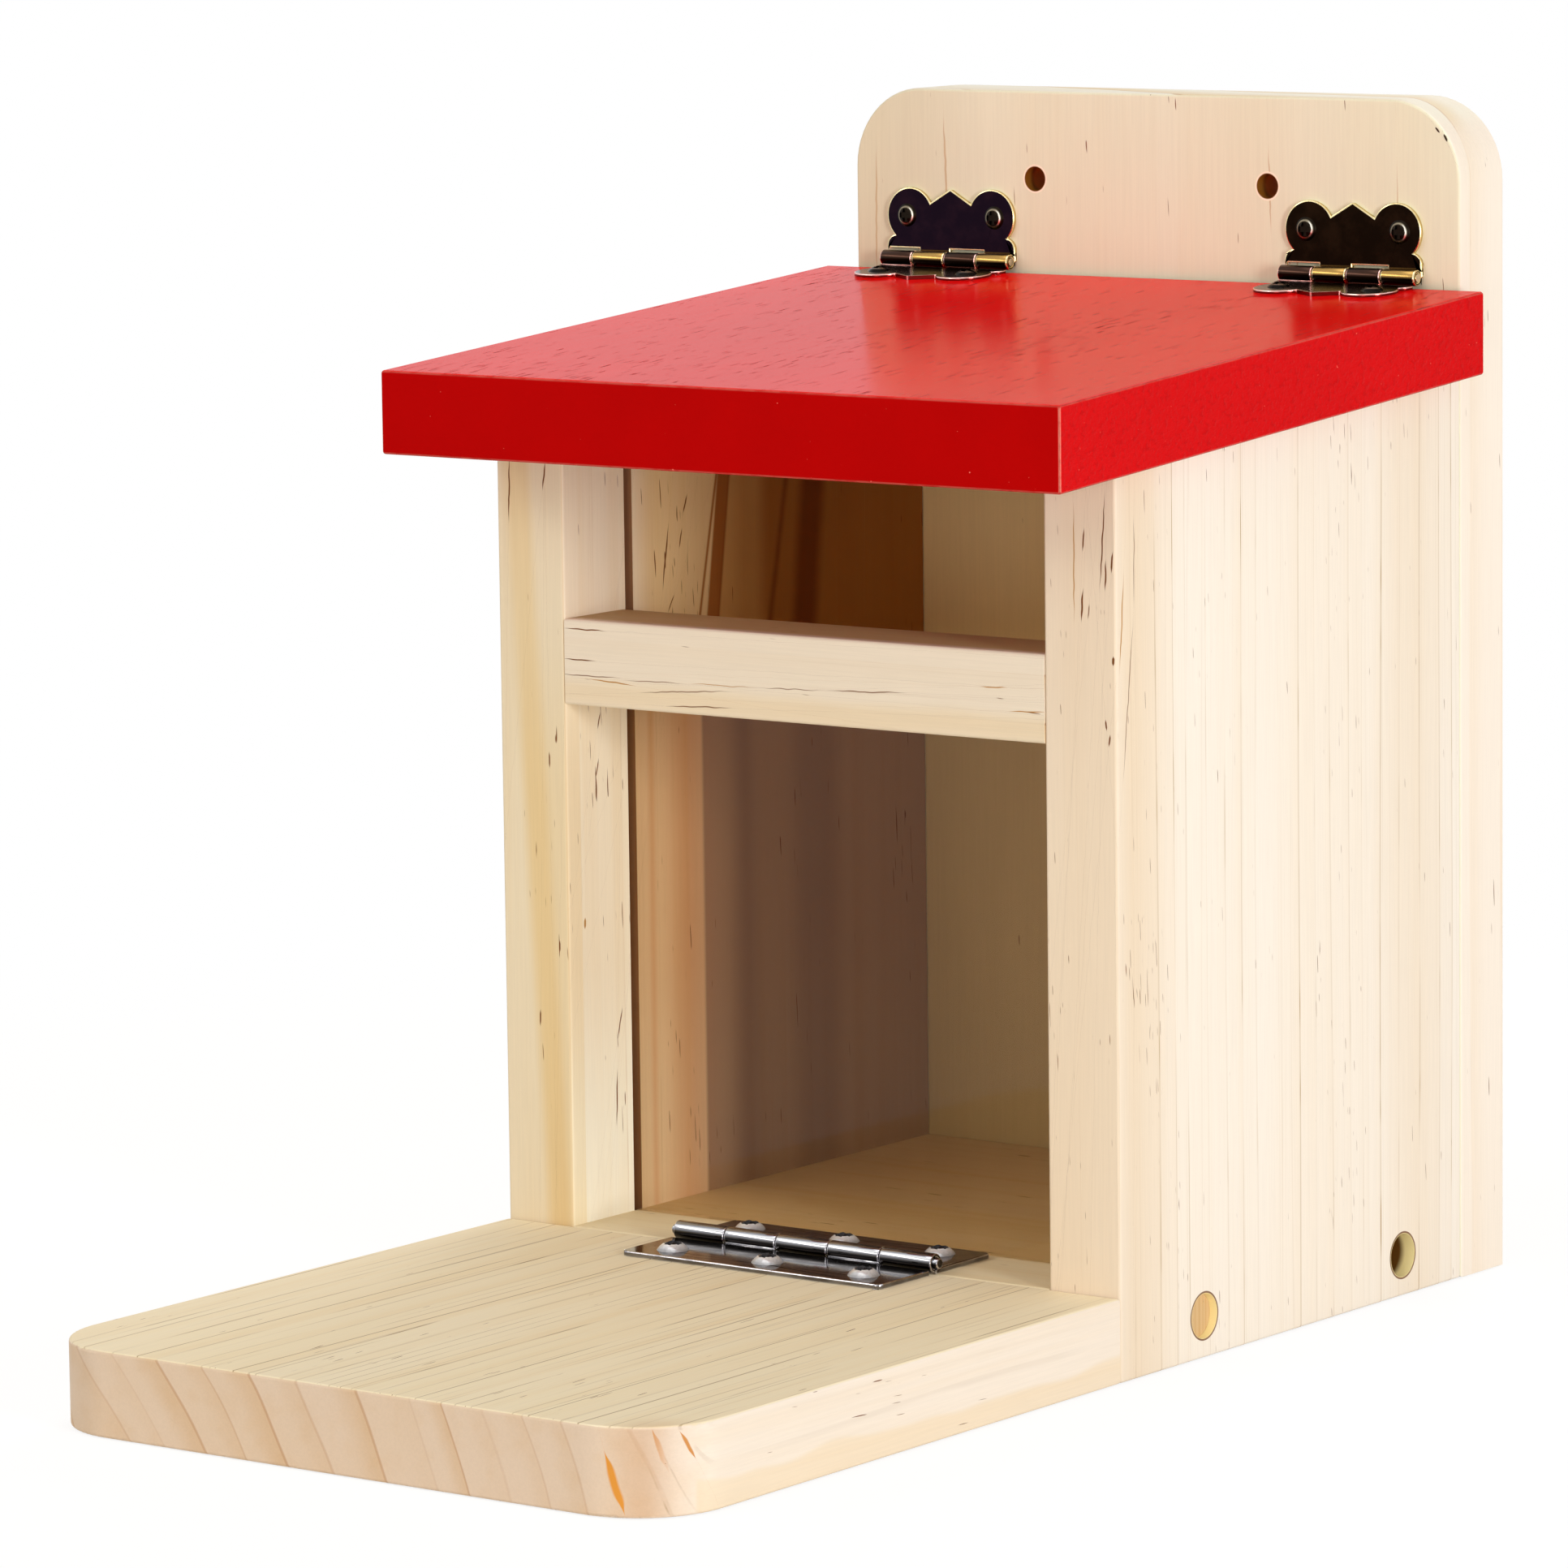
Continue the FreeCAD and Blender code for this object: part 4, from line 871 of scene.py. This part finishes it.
def dress_left_side():
    """The inner face carries painted shade: dark leaning bands and browner tints over the bar's
    level, and below it a pale strip behind the clear panel, painted as lit, and painted shade
    further back. The window's groove is painted brown inside as shade, and the front is tinted
    as painted shade."""
    face_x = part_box("left_side_panel")[1].x
    bar_low, bar_high = (corner.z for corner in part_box("crossbar"))
    window_front, window_back = (corner.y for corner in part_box("window_panel"))
    inner_face = (face_x - 0.3 * MM, 0, SHARP, 0)
    over_bar = (bar_low - MM, FAR, 5 * MM, 0)
    under_bar = (0, bar_low - MM, 5 * MM, 0)
    lean_level = bar_high - 3.5 * MM
    groove = {
        "X": (-0.060, face_x - 0.1 * MM, SHARP, 0),
        "Y": (window_front - 0.4 * MM, window_back + 0.4 * MM, SHARP, 0),
    }
    post_middle = {"X": (-0.0635, -0.0585, 0.0015, 0.002, -0.055, 0.12), "Y": FRONT_EDGE}
    post_inside = {
        "X": (-0.062, 0, 0.002, 0.002, -0.055, 0.1), "Y": FRONT_EDGE, "Z": (0, 0.11, 0.02, 0),
    }
    post_flecks = {
        "X": (-0.0575, -0.0535, 0.001, 0), "Y": FRONT_EDGE, "Z": (0.09, 0.13, 0.01, 0),
    }

    def inside(y_limits, z_limits):
        return {"X": inner_face, "Y": y_limits, "Z": z_limits}

    dress("left_side_panel", pine(
        "pine_left_side_panel", grain="Z", pale=(251, 246, 228), late=(248, 238, 212),
        pith=(-0.16, -0.26), spacing=0.007, seed=7.7, soft=0.1, line=0.3, line_width=0.24 * MM,
        line_colour=(186, 142, 82), wave=0.006, hair=0.06, fleck=0.1, streak=0.2,
        # Painted shade: the front faces tinted darker and warmer
        face_shading_tints=[("Y", -1, (0.83, 0.745, 0.64))], bores=side_holes("left"),
        patches=[
            # Painted shade and light on the inner face where the box's own shadow falls: dark
            # leaning bands and browner tints over the bar, below it a pale lit strip behind the
            # clear panel and shade further back
            ((245, 235, 225), 1.0, {"X": inner_face, "Z": (0.045, FAR, 0.02, 0)}),
            (OLIVE_PAINTED_SHADE, 1.0, inside((0.024, 0.12, 0.006, 0), over_bar)),
            (INSIDE_PAINTED_SHADE, 0.8, inside((0.048, 0.12, 0.0005, 0.001, 0.145, lean_level), over_bar)),
            (DARK_PAINTED_SHADE_BAND, 0.95, inside((0.0446, 0.0484, 0.0004, 0.001, 0.145, lean_level), over_bar)),
            (DARK_PAINTED_SHADE_BAND, 0.9, inside((0.0420, 0.0427, 0.0003, 0.001, 0.22, lean_level), over_bar)),
            (DARK_PAINTED_SHADE_BAND, 0.6, inside((0.0640, 0.0655, 0.0008, 0.002, 0.2, lean_level), over_bar)),
            (DARK_PAINTED_SHADE_BAND, 0.85, inside((0.0715, 0.0785, 0.002, 0.003, 0.1, lean_level), over_bar)),
            (INSIDE_PAINTED_SHADE, 0.95, inside((0.062, 0.12, 0.003, 0.004), over_bar)),
            (SHADE, 0.7, inside((0.0425, 0.12, 0.0006, 0), under_bar)),
            (SHADE, 0.3, inside((0.052, 0.058, 0.003, 0.003), under_bar)),
            (SHADE, 0.3, inside((0.071, 0.084, 0.004, 0.003), under_bar)),
            ((255, 243, 242), 1.0, inside((0.0226, 0.0425, 0.0002, 0), under_bar)),
            ((238, 204, 184), 0.75, inside((0.0330, 0.0425, 0.006, 0.001), under_bar)),
            ((240, 204, 180), 0.6, inside((0.0262, 0.0276, 0.001, 0.001), under_bar)),
            # Painted shade inside the window's groove
            ((170, 112, 60), 0.85, groove),
            (OCHRE, 0.75, post_middle),
            ((248, 236, 208), 0.5, post_inside),
        ],
        flecked=[
            (1.8, inside((0.006, 0.017, 0.003, 0), (0.088, 0.109, 0.006, 0))),
            (1.6, inside((0.009, 0.02, 0.002, 0), (0.062, 0.073, 0.003, 0))),
            (1.4, inside((0.0125, 0.019, 0.001, 0), (0.02, 0.056, 0.006, 0))),
            (0.9, inside((0.026, 0.042, 0.004, 0), (0.118, 0.16, 0.006, 0))),
            (1.2, post_flecks),
        ],
        strokes=[
            (DASH, 1, SIDE_UP, (0.1455, 0.0391), (0.1416, 0.0376), 0.42 * MM),
            (DASH, 1, SIDE_UP, (0.1394, 0.0373), (0.1353, 0.0364), 0.35 * MM),
            (DASH, 1, SIDE_UP, (0.1411, 0.0334), (0.1275, 0.0311), 0.42 * MM),
            (DASH, 1, SIDE_UP, (0.1274, 0.0348), (0.1239, 0.0327), 0.35 * MM),
            (DASH, 1, FRONT_UP, (0.1555, -0.0644), (0.1420, -0.0649), 0.35 * MM),
            (DASH, 1, FRONT_UP, (0.1545, -0.0561), (0.1487, -0.0570), 0.35 * MM),
            (DASH, 1, SIDE_UP, (0.1082, 0.0122), (0.1048, 0.0113), 0.35 * MM),
            (DASH, 1, SIDE_UP, (0.0998, 0.0115), (0.0958, 0.0106), 0.35 * MM),
            (VEIN, 1, SIDE_UP, (0.0712, 0.0069), (0.0688, 0.0068), 0.63 * MM),
            (DASH, 1, SIDE_UP, (0.0535, 0.0175), (0.0470, 0.0158), 0.35 * MM),
            (DASH, 1, SIDE_UP, (0.0425, 0.0157), (0.0308, 0.0152), 0.35 * MM),
            (DASH, 1, FRONT_UP, (0.1018, -0.0564), (0.0985, -0.0564), 0.35 * MM),
            (DASH, 1, FRONT_UP, (0.0674, -0.0546), (0.0650, -0.0547), 0.42 * MM),
            (DASH, 1, FRONT_UP, (0.0545, -0.0593), (0.0510, -0.0594), 0.35 * MM),
        ],
    ))


def dress_crossbar():
    """Marks along the bar's front, and a browner top, painted shade under the roof. The front is
    tinted as painted shade.
    """
    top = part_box("crossbar")[1].z
    dress("crossbar", pine(
        "pine_crossbar", grain="X", pale=(243, 230, 212), late=(241, 226, 204),
        pith=(0.02, -0.2), spacing=0.0105, seed=2.9, soft=0.1, line=0.2, line_width=0.16 * MM,
        line_colour=(180, 140, 84), wave=0.004, hair=0.05, fleck=-0.6, streak=0.1,
        # Painted shade: the front face tinted a little darker
        face_shading_tints=[("Y", -1, (0.92, 0.92, 0.90))],
        patches=[
            (OCHRE, 0.5, {"Z": (0.1105, 0.1150, 0.0015, 0.002)}),
            # Painted shade on the bar's top under the roof
            ((206, 190, 150), 1.0, {
                "Z": (top - 0.4 * MM, FAR, 0.0002, 0), "Y": (0.004, FAR, 0.002, 0),
            }),
        ],
        strokes=[
            (DASH, 1, FRONT_ACROSS, (-0.0530, 0.1243), (-0.0425, 0.1244), 0.24 * MM),
            (DASH, 1, FRONT_ACROSS, (-0.0530, 0.1187), (-0.0450, 0.1188), 0.24 * MM),
            (DASH, 0.8, FRONT_ACROSS, (-0.0545, 0.1161), (-0.0390, 0.1160), 0.21 * MM),
            (DASH, 0.75, FRONT_ACROSS, (-0.0395, 0.1157), (-0.0250, 0.1160), 0.18 * MM),
            (VEIN, 0.8, FRONT_ACROSS, (-0.0250, 0.1160), (-0.0090, 0.1164), 0.16 * MM),
            (DASH, 0.7, FRONT_ACROSS, (-0.0085, 0.1163), (0.0050, 0.1167), 0.18 * MM),
            (DASH, 0.9, FRONT_ACROSS, (0.0055, 0.1168), (0.0241, 0.1175), 0.21 * MM),
            (VEIN, 1, FRONT_ACROSS, (-0.0479, 0.1156), (-0.0360, 0.1148), 0.24 * MM),
            (DASH, 0.8, FRONT_ACROSS, (-0.0366, 0.1136), (-0.0142, 0.1154), 0.21 * MM),
            (DASH, 0.9, FRONT_ACROSS, (-0.0302, 0.1117), (-0.0142, 0.1123), 0.24 * MM),
            (VEIN, 1, FRONT_ACROSS, (0.0386, 0.1196), (0.0450, 0.1198), 0.21 * MM),
            (VEIN, 1, FRONT_ACROSS, (0.0445, 0.1157), (0.0532, 0.1160), 0.21 * MM),
        ],
    ))


def dress_floor_board():
    dress("floor_board", pine(
        "pine_floor_board", grain="X", pale=(240, 224, 198), late=(232, 208, 172),
        pith=(0.02, -0.2), spacing=0.007, seed=5.2, soft=0.4,
        # Painted light and shade: the front tinted darker and the top yellower
        face_shading_tints=[("Y", -1, (0.92, 0.925, 0.90)), ("Z", 1, (0.985, 0.985, 0.87))],
    ))


def dress_deck_board():
    """Ringed end grain in front, and amber resin near its right corner."""
    dress("deck_board", pine(
        "pine_deck_board", grain="Y", pale=(247, 234, 218), late=(245, 228, 204),
        pith=(-0.123, -0.054), spacing=0.0085, seed=8.4, soft=0.15, end_soft=0.5, line=0.85,
        line_width=0.24 * MM, line_colour=(140, 104, 48), breaks=(0.4, 0.56), wave=0.005,
        hair=0.75, hair_spacing=0.34, fleck=-0.3, fleck_size=(0.3 * MM, 30 * MM),
        end_line=0.42, end_colour=(176, 122, 78), streak=0.15,
        # Painted light and shade: the front end darker and warmer, the top yellower and the sides
        # greyer
        face_shading_tints=[
            ("Y", -1, (0.795, 0.71, 0.63)), ("Z", 1, (1.0, 1.0, 0.85)),
            ("X", 0, (0.905, 0.91, 0.92)),
        ],
        patches=[
            (OCHRE, 0.5, {"X": (0.0665, FAR, 0.0002, 0), "Z": (-FAR, 0.005, 0.0006, 0.006)}),
            ((242, 232, 224), 1.0, {"X": (0.058, FAR, 0.004, 0), "Y": (-FAR, -0.119, 0.005, 0)}),
        ],
        strokes=[
            (AMBER, 1.0, FRONT_UP, (0.0112, 0.0556), (0.0004, 0.0587), 1.5 * MM),
            (RESIN, 0.9, FRONT_UP, (0.0150, 0.0624), (0.0070, 0.0643), 0.7 * MM),
            (RESIN, 0.9, SIDE_UP, (0.0142, -0.1203), (0.0090, -0.1175), 0.7 * MM),
        ],
    ))


def dress_plugs():
    plug = pine(
        "turned_plug", grain="Z", pale=(226, 198, 154), late=(198, 158, 106), pith=(0.0, -0.2),
        spacing=0.0014, seed=3.3, soft=0.6, fleck_size=(0.3 * MM, 2 * MM),
    )
    for node in ("left_side_plug", "right_side_plug", "crossbar_dowels"):
        dress(node, plug)


def dress_deck_hinge():
    """Bright zinc leaves and barrel with paler rubbed edges, and polished screws. The leaves'
    dark grey is a painted reflection, and the barrel and screw heads carry painted highlights and
    shade.
    """
    low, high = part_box("deck_hinge_pin")
    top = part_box("deck_hinge_deck_leaf")[1].z
    centre = (low + high) / 2
    zinc = bright_zinc("bright_zinc", centre, top - centre.z)
    zinc_edge = plated("zinc_edge", (200, 198, 202), (160, 158, 164), 0.1)
    for node in ("deck_hinge_floor_leaf", "deck_hinge_deck_leaf", "deck_hinge_pin"):
        dress(node, zinc)
        rub_edges(node, zinc_edge, DECK_HINGE_EDGE)
    deck_screw = domed_screw("zinc_screw", "Z", DECK_SCREW_PAINTED_LIGHT_TONES, 0.16, metallic=0.4)
    for node in ("floor_leaf_screws", "deck_leaf_screws"):
        dress(node, deck_screw)


def dress_roof_hinges():
    """Bronzed leaves with bright rubbed edges, pale pins and dark screws. The roof leaves' red
    sides are a painted reflection of the red roof, their rose edges are rubbed metal with a
    painted red reflection, the back leaves' gold knuckles are a painted highlight, and the screw
    heads carry painted highlights.
    """
    # The back leaves' gold knuckles are a painted highlight
    back_leaf_sides, highlit_back_knuckles = (206, 182, 120), (176, 140, 78)
    # Painted reflection: the roof leaves' sides take the red of the roof under them
    roof_leaf_red_reflection, roof_knuckles = (110, 30, 28), (64, 44, 36)
    knuckle_margin = 0.9 * MM
    screws = {
        "back_leaf_screws": domed_screw(
            "bronzed_back_screw", "Y", BACK_SCREW_PAINTED_LIGHT_TONES, 0.3, glint=(255, 250, 236),
        ),
        "roof_leaf_screws": domed_screw("bronzed_roof_screw", "Z", ROOF_SCREW_PAINTED_LIGHT_TONES, 0.2),
    }
    brass = plated("rubbed_brass", (240, 224, 176), (220, 196, 136), 0.18)
    # Rose edges for the roof leaves: rubbed metal with a painted red reflection
    rose_edge_and_reflection = plated("rubbed_rose", (240, 196, 190), (206, 150, 140), 0.16)
    ring = plated("rubbed_ring", (226, 216, 196), (160, 146, 120), 0.12)
    plates = (("left", (26, 15, 26), (36, 20, 30)), ("right", (22, 13, 7), (34, 21, 12)))
    for side, plate, worn in plates:
        low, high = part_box(f"{side}_hinge_pin")
        barrel = (low.z - knuckle_margin, high.z + knuckle_margin)
        dress(f"{side}_hinge_back_leaf", bronzed(
            f"bronzed_{side}_back", plate, worn, "Y", back_leaf_sides, highlit_back_knuckles, barrel,
        ))
        dress(f"{side}_hinge_roof_leaf", bronzed(
            f"bronzed_{side}_roof", plate, worn, "Z", roof_leaf_red_reflection, roof_knuckles, barrel,
        ))
        rub_edges(f"{side}_hinge_back_leaf", brass, BACK_LEAF_EDGE)
        rub_edges(f"{side}_hinge_roof_leaf", rose_edge_and_reflection, ROOF_LEAF_EDGE)
        dress(f"{side}_hinge_pin", ring)
        for group, material in screws.items():
            dress(f"{side}_{group}", material)


def dress_box_screws():
    # Painted shade: the yellow zinc is darkened to stand in for the shade in the holes where the
    # heads sit
    yellow = plated("yellow_zinc", (120, 96, 54), (86, 66, 34), 0.2)
    for node in ("left_side_screws", "right_side_screws", "back_screws"):
        dress(node, yellow)


# Camera, light and floor

def towards(azimuth, elevation):
    """The way from the object to a place round it. Azimuth 0 is straight in front."""
    return Vector((
        math.sin(azimuth) * math.cos(elevation),
        -math.cos(azimuth) * math.cos(elevation),
        math.sin(elevation),
    ))


def camera():
    back = towards(CAMERA_AZIMUTH, CAMERA_ELEVATION)
    level = Vector((0, 0, 1)).cross(back).normalized()
    upright = back.cross(level)
    right = level * math.cos(CAMERA_ROLL) + upright * math.sin(CAMERA_ROLL)
    up = upright * math.cos(CAMERA_ROLL) - level * math.sin(CAMERA_ROLL)
    data = bpy.data.cameras.new("camera")
    data.sensor_width = SENSOR_WIDTH
    data.lens = LENS
    data.clip_start = CLIP_NEAR
    data.clip_end = CLIP_FAR
    eye = bpy.data.objects.new("camera", data)
    eye.matrix_world = Matrix((
        (right.x, up.x, back.x, CAMERA_PLACE.x),
        (right.y, up.y, back.y, CAMERA_PLACE.y),
        (right.z, up.z, back.z, CAMERA_PLACE.z),
        (0, 0, 0, 1),
    ))
    bpy.context.scene.collection.objects.link(eye)
    bpy.context.scene.camera = eye


def lamp(name, azimuth, elevation, distance, size, level, colour):
    """A soft lamp that faces the object. Level is how brightly it lights a white face that
    looks straight at it."""
    data = bpy.data.lights.new(name, "AREA")
    data.shape = "RECTANGLE"
    data.size, data.size_y = size
    data.energy = level * (math.pi * distance) ** 2
    data.color = colour
    away = towards(math.radians(azimuth), math.radians(elevation))
    light = bpy.data.objects.new(name, data)
    light.location = LAMP_TARGET + away * distance
    light.rotation_mode = "QUATERNION"
    light.rotation_quaternion = away.to_track_quat("Z", "Y")
    bpy.context.scene.collection.objects.link(light)


def sees_background(graph):
    """1 for the rays that show the background: straight, mirrored and let through."""
    path = graph.node("ShaderNodeLightPath")
    mirrored = graph.plus(path.outputs["Is Camera Ray"], path.outputs["Is Glossy Ray"])
    return graph.maths("ADD", mirrored, path.outputs["Is Transmission Ray"], clamp=True)


def world():
    studio = bpy.data.worlds.new("studio")
    bpy.context.scene.world = studio
    studio.use_nodes = True
    graph = Graph(studio.node_tree)
    seen = sees_background(graph)
    glow = graph.mix(seen, AMBIENT_COLOUR, WHITE)
    strength = graph.steps(seen, 0.0, 1.0, AMBIENT, 1.0)
    white = graph.node("ShaderNodeBackground", {"Color": glow, "Strength": strength})
    graph.output(white.outputs[0], "ShaderNodeOutputWorld")


def floor():
    """A plain white floor that keeps a faint shadow and fades into the background."""
    mesh = bpy.data.meshes.new("floor")
    outline = [(-1, -1), (1, -1), (1, 1), (-1, 1)]
    corners = [(FLOOR_HALF * x, FLOOR_HALF * y, 0) for x, y in outline]
    mesh.from_pydata(corners, [], [(0, 1, 2, 3)])
    plane = bpy.data.objects.new("floor", mesh)
    plane.location.z = -FLOOR_DROP
    bpy.context.scene.collection.objects.link(plane)
    material, graph = blank("floor")
    kept = graph.steps(graph.length(graph.place()), *SHADOW_FADE, SHADOW_SHARE, 0.0)
    shaded = graph.node("ShaderNodeBsdfDiffuse", {"Color": graph.grey(kept)})
    glow = graph.node("ShaderNodeEmission", {
        "Color": WHITE, "Strength": graph.minus(1.0, graph.times(kept, FLOOR_LIT_LEVEL)),
    })
    seen = graph.node("ShaderNodeAddShader", {0: shaded.outputs[0], 1: glow.outputs[0]})
    lit = graph.node("ShaderNodeBsdfDiffuse", {"Color": FLOOR_GREY})
    graph.output(graph.mix_shaders(sees_background(graph), lit, seen))
    mesh.materials.append(material)


camera()
world()
floor()
for row in LAMPS:
    lamp(*row)
dress_back_board()
dress_right_side()
dress_left_side()
dress_crossbar()
dress_floor_board()
dress_deck_board()
dress_plugs()
dress("roof_board", red_paint("red_paint"))
dress_deck_hinge()
dress_roof_hinges()
dress_box_screws()
dress("window_panel", clear_sheet("clear_acrylic"))
bpy.context.scene.view_settings.view_transform = "Standard"
